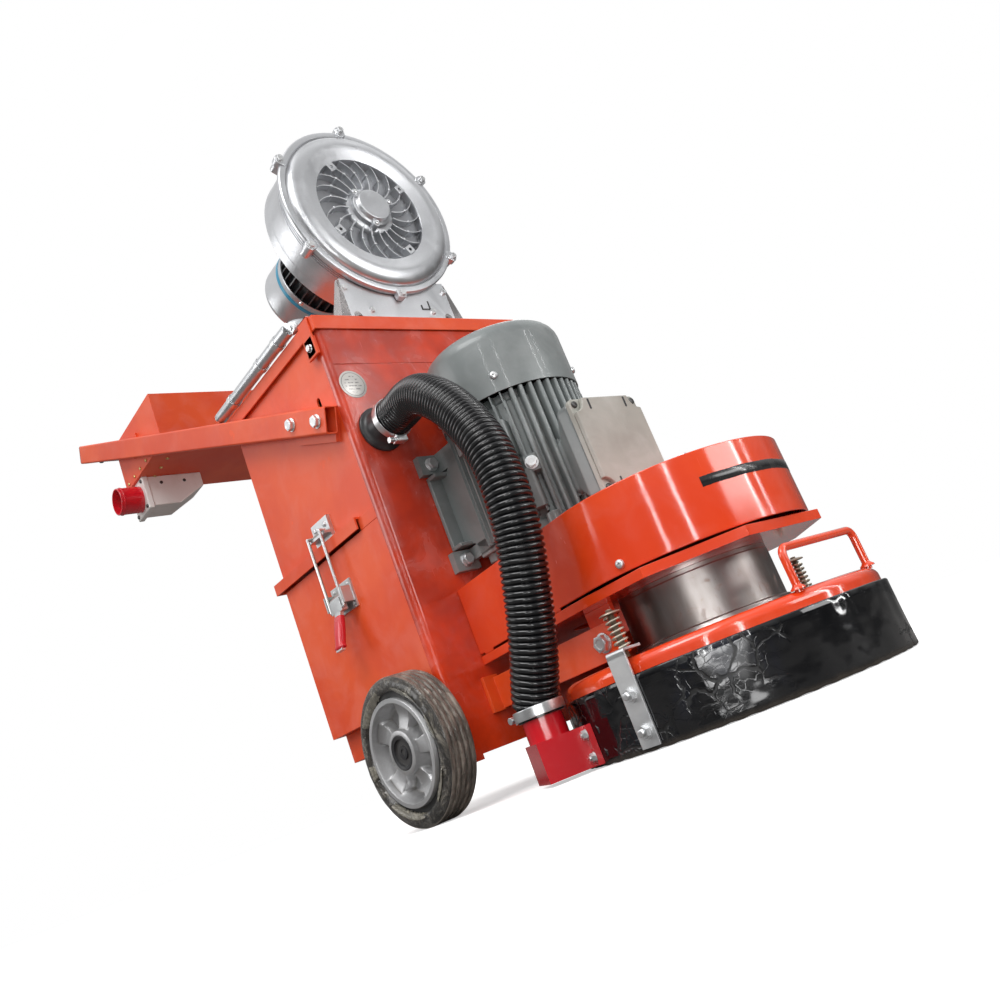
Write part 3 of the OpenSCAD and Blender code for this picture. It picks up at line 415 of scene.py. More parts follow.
class Mesher:
    """Collects the geometry of one piece, in metres in the row frame."""

    def __init__(self) -> None:
        """Starts empty."""
        self.bm = bmesh.new()

    def _face(self, verts: Sequence[bmesh.types.BMVert]) -> None:
        """Adds a face, unless it has collapsed or exists."""
        kept = list(dict.fromkeys(verts))
        if len(kept) >= 3:
            try:
                self.bm.faces.new(kept)
            except ValueError:
                pass

    def _band(self, a: list, b: list, closed: bool = True) -> None:
        """Joins two rows of vertices; a closed row also joins its ends."""
        for i in range(len(a) if closed else len(a) - 1):
            j = (i + 1) % len(a)
            self._face((a[i], a[j], b[j], b[i]))

    def skin(self, rows: Sequence[Sequence[Vector]], closed: bool = True, capped: bool = True) -> "Mesher":
        """Joins rows of points with faces, each row to the next.

        Args:
            rows: rows with as many points each.
            closed: joins each row's last point to its first.
            capped: closes the first and the last row.

        Returns:
            The mesher.
        """
        made = [[self.bm.verts.new(p) for p in row] for row in rows]
        for a, b in zip(made, made[1:]):
            self._band(a, b, closed)
        if capped:
            self._face(made[0][::-1])
            self._face(made[-1])
        return self

    def box(self, lo: Sequence[float], hi: Sequence[float], turn: Matrix = None) -> "Mesher":
        """A box from its corners, set in a frame if given."""
        m = turn or Matrix.Identity(4)
        v = [self.bm.verts.new(m @ vec(x, y, z))
             for x in (lo[0], hi[0]) for y in (lo[1], hi[1]) for z in (lo[2], hi[2])]
        for f in ((0, 1, 3, 2), (4, 6, 7, 5), (0, 4, 5, 1), (2, 3, 7, 6), (0, 2, 6, 4), (1, 5, 7, 3)):
            self._face([v[i] for i in f])
        return self

    def prism(self, outline: Sequence[Sequence[float]], depth: float, frame: Matrix,
              hole: Sequence[Sequence[float]] = None) -> "Mesher":
        """An outline drawn in a frame's XY and pushed along its Z.

        Args:
            outline: corners in order.
            depth: how far it is pushed.
            frame: where the outline lies.
            hole: an inner outline with as many corners, for a pipe of any section.

        Returns:
            The mesher.
        """
        rows = []
        for loop in (outline, hole):
            if loop is None:
                continue
            for h in (0, depth):
                rows.append([self.bm.verts.new(frame @ vec(p[0], p[1], h)) for p in loop])
        if hole is None:
            self._face(rows[0][::-1])
            self._face(rows[1])
            pairs = ((rows[0], rows[1]),)
        else:
            pairs = ((rows[0], rows[1]), (rows[3], rows[2]), (rows[2], rows[0]), (rows[1], rows[3]))
        for a, b in pairs:
            self._band(a, b)
        return self

    def lathe(self, profile: Profile, frame: Matrix, steps: int = 96, closed: bool = True,
              shape: Callable[[float, float, float], tuple[float, float]] = None) -> "Mesher":
        """Turns a profile of (radius, height) round a frame's Z.

        Args:
            profile: points of the section.
            frame: the axis.
            steps: facets round.
            closed: joins the last point to the first.
            shape: changes (angle, radius, height) to (radius, height).

        Returns:
            The mesher.
        """
        rings = []
        for r, h in profile:
            if r < ON_AXIS:
                rings.append([self.bm.verts.new(frame @ vec(0, 0, h))] * steps)
                continue
            ring = []
            for i in range(steps):
                a = TURN * i / steps
                rr, hh = shape(a, r, h) if shape else (r, h)
                ring.append(self.bm.verts.new(frame @ vec(rr * cos(a), rr * sin(a), hh)))
            rings.append(ring)
        count = len(rings) if closed else len(rings) - 1
        for k in range(count):
            self._band(rings[k], rings[(k + 1) % len(rings)])
        return self

    def sweep(self, path: Sequence[Vector], radius: Union[float, Callable[[float], float]],
              steps: int = 16, up: Vector = Z_AXIS) -> "Mesher":
        """A round bar along a path.

        Args:
            path: points of its middle line.
            radius: its radius, or a rule for it by distance along the path.
            steps: facets round.
            up: a direction the section keeps to.

        Returns:
            The mesher.
        """
        rings, run, side = [], 0.0, None
        for i, p in enumerate(path):
            before, after = path[max(i - 1, 0)], path[min(i + 1, len(path) - 1)]
            t = (Vector(after) - Vector(before)).normalized()
            if side is None:
                hint = up if abs(t.dot(up)) < 0.95 else X_AXIS
                side = hint.cross(t).normalized()
            side = (side - t * side.dot(t)).normalized()
            lift = t.cross(side)
            if i:
                run += (Vector(p) - Vector(path[i - 1])).length
            r = radius(run) if callable(radius) else radius
            rings.append([Vector(p) + side * (c[0] * r) + lift * (c[1] * r) for c in circle(1, steps)])
        return self.skin(rings)

    def ball(self, centre: Vector, radius: float, squash: float = 1.0, frame: Matrix = None) -> "Mesher":
        """A ball, or a low dome when squashed along its frame's Z."""
        m = (frame or Matrix.Translation(centre)) @ Matrix.Diagonal((radius, radius, radius * squash, 1))
        bmesh.ops.create_uvsphere(self.bm, u_segments=24, v_segments=12, radius=1, matrix=m)
        return self

    def copy_of(self, node: str) -> "Mesher":
        """The CAD node's own shape, its triangles merged to whole faces."""
        self.bm.from_mesh(bpy.data.objects[node].data)
        bmesh.ops.remove_doubles(self.bm, verts=self.bm.verts, dist=WELD_GAP)
        bmesh.ops.dissolve_limit(self.bm, angle_limit=radians(FLAT_ANGLE), verts=self.bm.verts,
                                 edges=self.bm.edges)
        return self

    def piece(self, name: str, body: Union[str, None], finish: Finish, stands_for: Sequence[str] = (),
              bevel: float = 0.0, segments: int = 2, crisp: float = 40) -> bpy.types.Object:
        """Makes the piece and puts it on its body.

        Args:
            name: the piece's name.
            body: CAD body it rides on, or None for a piece that is blended after.
            finish: its surface finish.
            stands_for: CAD nodes it replaces.
            bevel: width of its edge rounding.
            segments: steps in the rounding.
            crisp: angle in degrees above which an edge is rounded or kept sharp.

        Returns:
            The new object.
        """
        bmesh.ops.recalc_face_normals(self.bm, faces=self.bm.faces)
        mesh = bpy.data.meshes.new(name)
        self.bm.to_mesh(mesh)
        self.bm.free()
        for polygon in mesh.polygons:
            polygon.use_smooth = True
        obj = bpy.data.objects.new(name, mesh)
        bpy.context.scene.collection.objects.link(obj)
        mesh.materials.append(finish.material())
        if bevel:
            mod = obj.modifiers.new("edges", "BEVEL")
            mod.width, mod.segments = bevel, segments
            mod.limit_method, mod.angle_limit = "ANGLE", radians(crisp)
            mod.use_clamp_overlap = True
            mod.miter_outer = "MITER_ARC"
            normal = obj.modifiers.new("shade", "WEIGHTED_NORMAL")
            normal.keep_sharp = True
        else:
            mesh.set_sharp_from_angle(angle=radians(crisp))
        if body is not None:
            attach(obj, body)
        if stands_for:
            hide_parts(*stands_for)
        LOG.info("%s: %d faces on %s", name, len(mesh.polygons), body)
        return obj


def dressed(node: str, name: str, finish: Finish, body: str = CHASSIS, **edges: float) -> bpy.types.Object:
    """Makes a piece with a CAD node's own shape, that stands for it.

    Args:
        node: the CAD node.
        name: the piece's name.
        finish: its surface finish.
        body: CAD body it rides on.
        edges: the rounding, as Mesher.piece has it.

    Returns:
        The new object.
    """
    return Mesher().copy_of(node).piece(name, body, finish, (node,), **edges)


@dataclass(frozen=True)
class Box:
    """The room a CAD node takes."""

    lo: Vector
    hi: Vector

    @classmethod
    def of(cls, *nodes: str) -> "Box":
        """The box round one or more nodes."""
        ends = [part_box(n) for n in nodes]
        return cls(Vector([min(e[0][k] for e in ends) for k in range(3)]),
                   Vector([max(e[1][k] for e in ends) for k in range(3)]))

    @property
    def mid(self) -> Vector:
        """Its middle."""
        return (self.lo + self.hi) / 2

    @property
    def size(self) -> Vector:
        """Its three sizes."""
        return self.hi - self.lo


def rounded(half_x: float, half_y: float, radius: float, steps: int = 5) -> list[tuple[float, float]]:
    """A rounded rectangle's outline about the origin."""
    points = []
    for cx, cy, start in ((1, 1, 0), (-1, 1, 0.25), (-1, -1, 0.5), (1, -1, 0.75)):
        for i in range(steps + 1):
            a = TURN * (start + 0.25 * i / steps)
            points.append((cx * (half_x - radius) + radius * cos(a),
                           cy * (half_y - radius) + radius * sin(a)))
    return points


def circle(radius: float, steps: int, ahead: float = 0.0) -> list[tuple[float, float]]:
    """A circle's outline, or a polygon's; ahead turns it by so many of its steps."""
    return [(radius * cos(TURN * (i + ahead) / steps), radius * sin(TURN * (i + ahead) / steps))
            for i in range(steps)]


def quarter(steps: int) -> list[float]:
    """The angles of a quarter turn in even steps, for a rolled edge."""
    return [pi / 2 * i / steps for i in range(steps + 1)]


def level(angle: float) -> Vector:
    """The level direction at an angle in degrees from straight ahead."""
    return vec(cos(radians(angle)), sin(radians(angle)), 0)


def spline(points: Sequence[Vector], count: int) -> list[Vector]:
    """A smooth line through points, cut into equal steps.

    Args:
        points: what it passes through.
        count: how many steps it is cut into.

    Returns:
        count + 1 points.
    """
    pts = [Vector(p) for p in points]
    pts = [pts[0] * 2 - pts[1]] + pts + [pts[-1] * 2 - pts[-2]]
    fine: list[Vector] = []
    for i in range(1, len(pts) - 2):
        p0, p1, p2, p3 = pts[i - 1:i + 3]
        for k in range(40):
            t = k / 40
            fine.append(0.5 * (2 * p1 + (p2 - p0) * t + (2 * p0 - 5 * p1 + 4 * p2 - p3) * t * t
                               + (3 * p1 - p0 - 3 * p2 + p3) * t ** 3))
    fine.append(pts[-2])
    runs = [0.0]
    for a, b in zip(fine, fine[1:]):
        runs.append(runs[-1] + (b - a).length)
    out, k = [], 0
    for i in range(count + 1):
        want = runs[-1] * i / count
        while k < len(runs) - 2 and runs[k + 1] < want:
            k += 1
        part = (want - runs[k]) / max(runs[k + 1] - runs[k], 1e-12)
        out.append(fine[k].lerp(fine[k + 1], part))
    return out


def hex_head(m: Mesher, seat: Vector, axis: Vector, shank: float, washer: bool = True) -> None:
    """A hex bolt head with chamfered corners and its washer, standing on a face.

    Args:
        m: mesher that takes it.
        seat: the point where it meets the face.
        axis: outward direction.
        shank: the thread's radius; the head's sizes follow from it.
        washer: adds a plain washer under it.
    """
    frame = facing(seat, axis)
    base = 0.0
    if washer:
        base = 0.32 * shank
        m.lathe([(0, 0), (2.1 * shank, 0), (2.1 * shank, base * 0.8), (2.02 * shank, base), (0, base)],
                frame, 40, closed=False)
    across, high = 1.85 * shank, base + 1.3 * shank
    m.prism(circle(across, 6), high - base - 0.14 * shank, frame @ shift(0, 0, base))
    m.lathe([(0.0, high - 0.15 * shank), (1.6 * shank, high - 0.15 * shank), (1.5 * shank, high),
             (0.95 * shank, high), (0.9 * shank, high - 0.06 * shank), (0, high - 0.06 * shank)],
            frame, 36, closed=False)


def nut_on_stud(m: Mesher, seat: Vector, axis: Vector, shank: float, stand: float) -> None:
    """A hex nut on a stud that stands out past it."""
    frame = facing(seat, axis)
    m.lathe([(0, 0), (2.1 * shank, 0), (2.1 * shank, 0.3 * shank), (0, 0.3 * shank)], frame, 32, closed=False)
    m.prism(circle(1.8 * shank, 6, ahead=0.3), 1.5 * shank, frame @ shift(0, 0, 0.3 * shank))
    thread = [(0, 0)]
    pitch = 0.28 * shank
    turns = int(stand / pitch)
    for i in range(turns):
        thread += [(shank, i * pitch), (0.86 * shank, (i + 0.5) * pitch)]
    thread.append((0, turns * pitch))
    m.lathe(thread, frame, 24, closed=False)


def pan_screw(m: Mesher, seat: Vector, axis: Vector, radius: float) -> None:
    """A pan-head screw with a cross recess ring."""
    frame = facing(seat, axis)
    m.lathe([(0, 0), (radius, 0), (radius, 0.25 * radius), (0.85 * radius, 0.55 * radius),
             (0.5 * radius, 0.7 * radius), (0.3 * radius, 0.7 * radius), (0.2 * radius, 0.35 * radius),
             (0, 0.35 * radius)], frame, 28, closed=False)


# ---- the machine's own finishes --------------------------------------------


@dataclass(frozen=True)
class CrackedRubber(Finish):
    """Glossy skirt rubber: crazed shiny film, brown scuffed lower edge."""

    name: str = "skirt_rubber"
    slot: str = "black_rubber"

    def build(self, g: Graph) -> None:
        """Crazed plates in patches, a painted bluish sheen in streaks, brown dust low down."""
        warp = g.make("ShaderNodeVectorMath", {"operation": "MULTIPLY_ADD"}, {
            0: g.make("ShaderNodeTexNoise", {}, {"Vector": g.place, "Scale": 26.0, "Detail": 3.0}, "Color"),
            1: (0.03, 0.03, 0.03), 2: g.place})
        crack = 1 - g.between(g.cells(30, "DISTANCE_TO_EDGE", warp), 0.015, 0.06)
        fine = 1 - g.between(g.cells(75, "DISTANCE_TO_EDGE", warp), 0.01, 0.05)
        where = g.between(g.noise(7, 3, 0.5), 0.47, 0.56)
        crazing = (crack | (fine * 0.15)) * where
        painted_sheen_streaks = g.between(g.noise(26, 4, 0.65, g.stretched((1, 1, 0.35))), 0.44, 0.66)
        wiped = g.between(g.noise(60, 3, 0.6, g.stretched((1, 1, 7), (0.3, 0, 0))), 0.6, 0.7)
        low = 1 - g.between(g.axis("Z") + g.noise(70, 4) * 0.006, 0.003, 0.012)
        # Painted sheen: a lighter bluish tone in streaky patches stands for the reflection on the glossy
        # rubber.
        sheen = where * painted_sheen_streaks
        tone = g.blend(sheen * 0.5, (0.002, 0.0022, 0.003), (0.012, 0.015, 0.03))
        tone = g.blend(wiped * 0.25, tone, (0.014, 0.014, 0.014))
        tone = g.blend(crazing, tone, (0.001, 0.001, 0.001))
        tone = g.blend(low * 0.6, tone, (0.08, 0.065, 0.05))
        height = g.noise(9, 3, 0.55) * 2.4 - crazing * 0.5
        g.set(Base_Color=tone, Roughness=crazing * 0.5 + wiped * 0.1 + low * 0.4 + 0.07,
              Coat_Weight=0.3 - low * 0.25 - crazing * 0.2, Coat_Roughness=0.05,
              Normal=g.bump(height, 0.0013))


@dataclass(frozen=True)
class WrappedTyre(Finish):
    """Grey-brown tyre seen through creased stretch film."""

    name: str = "tyre_film"
    slot: str = "tyre_rubber"
    film: float = 0.75
    rubber: Colour = (0.022, 0.02, 0.018)
    tint: Colour = (0.27, 0.245, 0.205)

    def build(self, g: Graph) -> None:
        """Streaks of creased film over rubber, glossy where the film lies."""
        bend = g.make("ShaderNodeVectorMath", {"operation": "MULTIPLY_ADD"}, {
            0: g.make("ShaderNodeTexNoise", {}, {"Vector": g.place, "Scale": 14.0, "Detail": 2.0}, "Color"),
            1: (0.06, 0.02, 0.06), 2: g.place})
        sliver = g.make("ShaderNodeMapping", {},
                        {"Vector": bend, "Rotation": (0.5, 0.7, 0.3), "Scale": (1, 6, 1.2)})
        crease = g.between(g.noise(38, 6, 0.75, sliver), 0.47, 0.62)
        thread = g.between(g.noise(120, 3, 0.65, sliver), 0.58, 0.64)
        film = (crease | (thread * 0.8)) * self.film
        wear = g.between(g.noise(30, 5, 0.6), 0.35, 0.7)
        tone = g.blend(wear, self.rubber, tuple(2.4 * c for c in self.rubber))
        tone = g.blend(film, tone, self.tint)
        g.set(Base_Color=tone, Roughness=0.34 - film * 0.18, Coat_Weight=film * 0.5 + 0.3, Coat_Roughness=0.1,
              Normal=g.bump(crease * 1.4 + thread * 0.6, 0.0013))


@dataclass(frozen=True)
class Sticker(Finish):
    """A round foil label with a plain ring and bars, without lettering."""

    name: str
    slot: str
    centre: Vector

    def build(self, g: Graph) -> None:
        """Rings by distance from the label's centre, soft grey bars inside."""
        away = g.make("ShaderNodeVectorMath", {"operation": "DISTANCE"},
                      {0: g.place, 1: tuple(self.centre)}, "Value")
        ring = (away > 0.0185) * (away < 0.0196)
        bars = g.make("ShaderNodeTexWave", {"bands_direction": "Z"},
                      {"Vector": g.place, "Scale": 60.0, "Distortion": 0.0}, "Fac")
        broken = g.between(g.noise(260, 2), 0.44, 0.52)
        inner = (away < 0.014) * (bars > 0.72) * broken
        tone = g.blend(g.noise(30, 3) * 0.4, (0.62, 0.6, 0.57), (0.42, 0.4, 0.38))
        tone = g.blend((ring | inner) * 0.8, tone, (0.13, 0.12, 0.12))
        g.set(Base_Color=tone, Metallic=0.4, Roughness=g.noise(80, 3) * 0.2 + 0.25,
              Normal=g.bump(g.noise(90, 3), 0.0002))


ORANGE = Paint("orange_powder", "orange_paint", (0.78, 0.086, 0.012), (0.70, 0.060, 0.008), rough=0.42,
               coat=0.08)
# The front panel's orange paint, darker and redder than the rest: painted shade, a shaded copy of the same
# orange paint.
SHADED_PANEL_ORANGE = Paint("orange_shaded", "orange_paint", (0.72, 0.052, 0.011), (0.40, 0.032, 0.014), rough=0.2,
                  coat=0.35, dust=0.3)
GLOSS_ORANGE = Paint("orange_gloss", "orange_paint", (0.78, 0.066, 0.012), (0.72, 0.050, 0.009), rough=0.08,
                     coat=0.8, peel=0.00002, dust=0.1)
RED = Paint("crimson_gloss", "red_paint", (0.56, 0.006, 0.014), (0.46, 0.004, 0.008), rough=0.2, coat=0.6)
MOTOR_GREY = Paint("motor_enamel", "motor_paint", (0.195, 0.215, 0.213), (0.15, 0.167, 0.166), rough=0.36,
                   coat=0.3, bare=(0.26, 0.27, 0.27), dust=0.3, worn=0.35)
COVER_GREY = Paint("cover_enamel", "cover_paint", (0.41, 0.405, 0.365), (0.31, 0.305, 0.27), rough=0.38,
                   coat=0.15, bare=(0.2, 0.19, 0.17), dust=0.6, worn=0.4)
DARK_MOTOR = Paint("dark_enamel", "blower_motor_paint", (0.028, 0.032, 0.036), (0.02, 0.022, 0.026),
                   rough=0.4)
BRIGHT_PLATE = Metal("bright_plate", "zinc_steel", (0.42, 0.4, 0.4), (0.28, 0.26, 0.26), rough=0.12)
ZINC = Metal("bright_zinc", "zinc_steel", (0.72, 0.73, 0.74), (0.3, 0.28, 0.25), rough=0.24,
             grain=(1, 1, 7), grain_scale=160, stained=0.25)
GALVANISED = Metal("spangled_zinc", "zinc_steel", (0.6, 0.61, 0.62), (0.36, 0.34, 0.31), rough=0.34,
                   grain_scale=90, stained=0.5)
THREADED = Metal("threaded_rod", "zinc_steel", (0.36, 0.3, 0.24), (0.17, 0.12, 0.085), rough=0.34)
SPRING_STEEL = Metal("spring_wire", "zinc_steel", (0.5, 0.46, 0.38), (0.24, 0.19, 0.13), rough=0.34,
                     stained=0.6)
PLATE_STEEL = Metal("disc_steel", "machined_steel", (0.4, 0.38, 0.36), (0.2, 0.15, 0.11), rough=0.36,
                    stained=0.6)
DRUM_STEEL = Turned("drum_steel", "machined_steel", (0.33, 0.31, 0.3), (0.22, 0.19, 0.17), rough=0.3)
CAST = Metal("cast_aluminium", "hub_aluminium", (0.5, 0.5, 0.505), (0.2, 0.19, 0.18), rough=0.4,
             grain_scale=420, grain_depth=0.0001, stained=0.3, cast=0.0001)
BLOWER_SILVER = Metal("silver_casting", "hub_aluminium", (0.66, 0.67, 0.69), (0.34, 0.34, 0.35), rough=0.26,
                      grain_scale=500, grain_depth=0.00005, stained=0.1, cast=0.00004)
# A darker copy of the blower casting for the cover's recess floor: painted shade where the recess lies in
# shadow.
RECESS_SHADE_CAST = Metal("dull_casting", "hub_aluminium", (0.3, 0.305, 0.32), (0.14, 0.14, 0.14), rough=0.42,
                  grain_scale=500, grain_depth=0.00006, stained=0.3, cast=0.00008)
IRON = Metal("pulley_iron", "pulley_iron", (0.16, 0.16, 0.16), (0.1, 0.08, 0.06), rough=0.45, stained=0.4)
BOND = Metal("segment_bond", "segment_bond", (0.3, 0.27, 0.2), (0.14, 0.12, 0.1), rough=0.6, cast=0.0003)
HOSE_BLACK = Moulded("hose_rubber", "black_rubber", (0.005, 0.005, 0.006), rough=0.2, skin=0.00002,
                     dusty=(0.05, 0.047, 0.043), dust=0.08, coat=0.2)
BELT_BLACK = Moulded("belt_rubber", "black_rubber", (0.02, 0.02, 0.02), rough=0.6)
BLACK_PLASTIC = Moulded("black_plastic", "black_plastic", (0.018, 0.018, 0.02), rough=0.38)
TAPE = Moulded("black_tape", "black_rubber", (0.008, 0.008, 0.009), rough=0.22, dust=0.05, coat=0.4)
WHITE_PLASTIC = Moulded("white_plastic", "white_plastic", (0.76, 0.745, 0.72), rough=0.32,
                        dusty=(0.45, 0.4, 0.33), dust=0.25)
RED_PLASTIC = Moulded("red_plastic", "red_plastic", (0.62, 0.01, 0.022), rough=0.22, coat=0.4)
GREEN_PLASTIC = Moulded("green_plastic", "green_plastic", (0.02, 0.3, 0.09), rough=0.3)
BLUE_BAND = Moulded("blue_band", "black_plastic", (0.02, 0.26, 0.42), rough=0.3)
PAPER = Moulded("filter_paper", "filter_paper", (0.72, 0.68, 0.58), rough=0.8, skin=0.0002)
YELLOW_ZINC = Metal("yellow_zinc", "zinc_steel", (0.62, 0.47, 0.2), (0.3, 0.22, 0.12), rough=0.28,
                    stained=0.3)
BRASS = Metal("brass", "zinc_steel", (0.72, 0.5, 0.2), (0.3, 0.2, 0.1), rough=0.22, stained=0.2)
DARK_METAL = Metal("black_screws", "zinc_steel", (0.1, 0.1, 0.1), (0.05, 0.045, 0.04), rough=0.32,
                   stained=0.2)
YELLOW_PLASTIC = Moulded("yellow_plastic", "white_plastic", (0.75, 0.5, 0.03), rough=0.32)
TAG_GREY = Moulded("grey_tag", "white_plastic", (0.38, 0.38, 0.38), rough=0.35)
SKIRT_RUBBER = CrackedRubber()
TYRE_FILM = WrappedTyre()
TREAD = WrappedTyre("tyre_tread", film=0.35, rubber=(0.15, 0.128, 0.108), tint=(0.3, 0.27, 0.235))
FILM = WrappedTyre("torn_film", film=0.9, rubber=(0.12, 0.11, 0.09), tint=(0.4, 0.37, 0.29))


def on_axle(x: float, y: float, z: float) -> Vector:
    """A point measured forward from the wheel axle, in metres."""
    return vec(Box.of("axle").mid.x + x, y, z)


# ---- room, light and camera ------------------------------------------------


@dataclass
class Studio:
    """Pale room, soft light and the camera."""

    eye: tuple[float, float, float] = (1.0652, -0.9363, 0.0567)
    azimuth: float = 136.8
    elevation: float = 14.1
    roll: float = -21.4
    lens: float = 33.57

    def build(self) -> None:
        """Makes camera, floor, world and lamps."""
        self.camera()
        self.floor()
        self.lamps()

    def camera(self) -> None:
        """Sets the camera from its bearing, tilt and roll."""
        a, e, r = (radians(v) for v in (self.azimuth, self.elevation, self.roll))
        ahead = vec(cos(a) * cos(e), sin(a) * cos(e), sin(e))
        right = ahead.cross(Z_AXIS).normalized()
        up = right.cross(ahead)
        right, up = (cos(r) * right + sin(r) * up, cos(r) * up - sin(r) * right)
        data = bpy.data.cameras.new("camera")
        data.lens, data.sensor_width, data.clip_start = self.lens, 36, 0.01
        camera = bpy.data.objects.new("camera", data)
        turn = Matrix((right, up, -ahead)).transposed().to_4x4()
        camera.matrix_world = Matrix.Translation(on_axle(*self.eye)) @ turn
        bpy.context.scene.collection.objects.link(camera)
        bpy.context.scene.camera = camera

    def floor(self) -> None:
        """A wide pale floor that shows white and bounces little, and a soft room."""
        g = Graph("studio_floor")
        seen = g.make("ShaderNodeLightPath", {}, {}, "Is Camera Ray")
        g.set(Base_Color=g.blend(seen, (0.16, 0.155, 0.15), (0.8, 0.8, 0.8)), Roughness=0.8,
              Emission_Color=g.blend(seen, (0, 0, 0), (1, 1, 1)), Emission_Strength=0.5)
        mesh = Mesher()
        mesh.box((-30, -30, -0.02), (30, 30, 0))
        data = bpy.data.meshes.new("studio_floor")
        mesh.bm.to_mesh(data)
        mesh.bm.free()
        data.materials.append(g.material)
        floor = bpy.data.objects.new("studio_floor", data)
        bpy.context.scene.collection.objects.link(floor)
        bpy.context.scene.view_settings.view_transform = "Standard"
        self.room()

    @staticmethod
    def room() -> None:
        """World light: bright overhead, dim and banded at eye level, white to the camera."""
        world = bpy.data.worlds.new("studio_air")
        world.use_nodes = True
        tree = world.node_tree

        def node(kind: str, settings: dict, inputs: dict) -> bpy.types.Node:
            """Adds a node with its settings and linked or constant inputs."""
            made = tree.nodes.new(kind)
            for key, value in settings.items():
                setattr(made, key, value)
            for key, value in inputs.items():
                if isinstance(value, bpy.types.NodeSocket):
                    tree.links.new(value, made.inputs[key])
                else:
                    made.inputs[key].default_value = value
            return made

        where = node("ShaderNodeTexCoord", {}, {}).outputs["Generated"]
        parts = node("ShaderNodeSeparateXYZ", {}, {0: where})
        high = node("ShaderNodeMapRange", {"interpolation_type": "SMOOTHSTEP"},
                    {"Value": parts.outputs["Z"], "From Min": 0.05, "From Max": 0.9, "To Min": 0.14,
                     "To Max": 0.92})
        wall = node("ShaderNodeTexNoise", {}, {"Vector": where, "Scale": 2.2, "Detail": 2.0})
        banded = node("ShaderNodeMapRange", {"interpolation_type": "SMOOTHSTEP"},
                      {"Value": wall.outputs[0], "From Min": 0.42, "From Max": 0.6, "To Min": 0.65,
                       "To Max": 1.35})
        light = node("ShaderNodeMath", {"operation": "MULTIPLY"}, {0: high.outputs[0], 1: banded.outputs[0]})
        seen = node("ShaderNodeLightPath", {}, {})
        strength = node("ShaderNodeMath", {"operation": "MAXIMUM"},
                        {0: seen.outputs["Is Camera Ray"], 1: light.outputs[0]})
        tree.links.new(strength.outputs[0], tree.nodes["Background"].inputs["Strength"])
        tree.nodes["Background"].inputs["Color"].default_value = (1, 1, 1, 1)
        bpy.context.scene.world = world

    def lamps(self) -> None:
        """Broad key above, a low front fill and tall strips that draw lines in the gloss."""
        target = Box.of("motor_body").mid
        head = Box.of("spindle").mid
        lamps = [("key", vec(0.9, -1.7, 2.7), 40.0, (1.7, 1.2)),
                 ("side", vec(-1.4, -2.4, 1.4), 19.0, (1.6, 1.2)),
                 ("front", vec(3.0, 0.6, 1.0), 17.0, (1.2, 0.9)),
                 ("back", vec(-1.8, 1.9, 2.2), 20.0, (1.5, 1.5)),
                 ("under", vec(1.5, -1.3, 0.12), 3.5, (0.8, 0.15))]
        for bearing, width in ((-37, 0.045), (-60, 0.035), (27, 0.05), (38, 0.025)):
            a = radians(bearing)
            spot = head + vec(cos(a) * 2.2, sin(a) * 2.2, 0.75)
            lamps.append((f"strip_{bearing}", spot, 160.0 * width, (width, 1.7)))
        for name, spot, power, size in lamps:
            data = bpy.data.lights.new(name, "AREA")
            data.energy, data.shape, data.size, data.size_y = power, "RECTANGLE", size[0], size[1]
            lamp = bpy.data.objects.new(name, data)
            lamp.location = spot
            lamp.rotation_mode = "QUATERNION"
            aim = head if name.startswith("strip") else target
            lamp.rotation_quaternion = (aim - spot).to_track_quat("-Z", "Y")
            bpy.context.scene.collection.objects.link(lamp)


# ---- hose ------------------------------------------------------------------

# The hose's middle line in metres, forward from the axle, as the CAD has it.
HOSE_ROUTE = (
    (0.078, -0.153, 0.541), (0.108, -0.153, 0.541), (0.142, -0.159, 0.539), (0.176, -0.167, 0.528),
    (0.208, -0.175, 0.506), (0.240, -0.182, 0.474), (0.268, -0.190, 0.436), (0.290, -0.198, 0.398),
    (0.302, -0.204, 0.358), (0.304, -0.208, 0.314), (0.296, -0.209, 0.268), (0.283, -0.211, 0.222),
    (0.268, -0.212, 0.180), (0.252, -0.213, 0.142), (0.237, -0.214, 0.112), (0.228, -0.214, 0.092),
    (0.228, -0.214, 0.076))


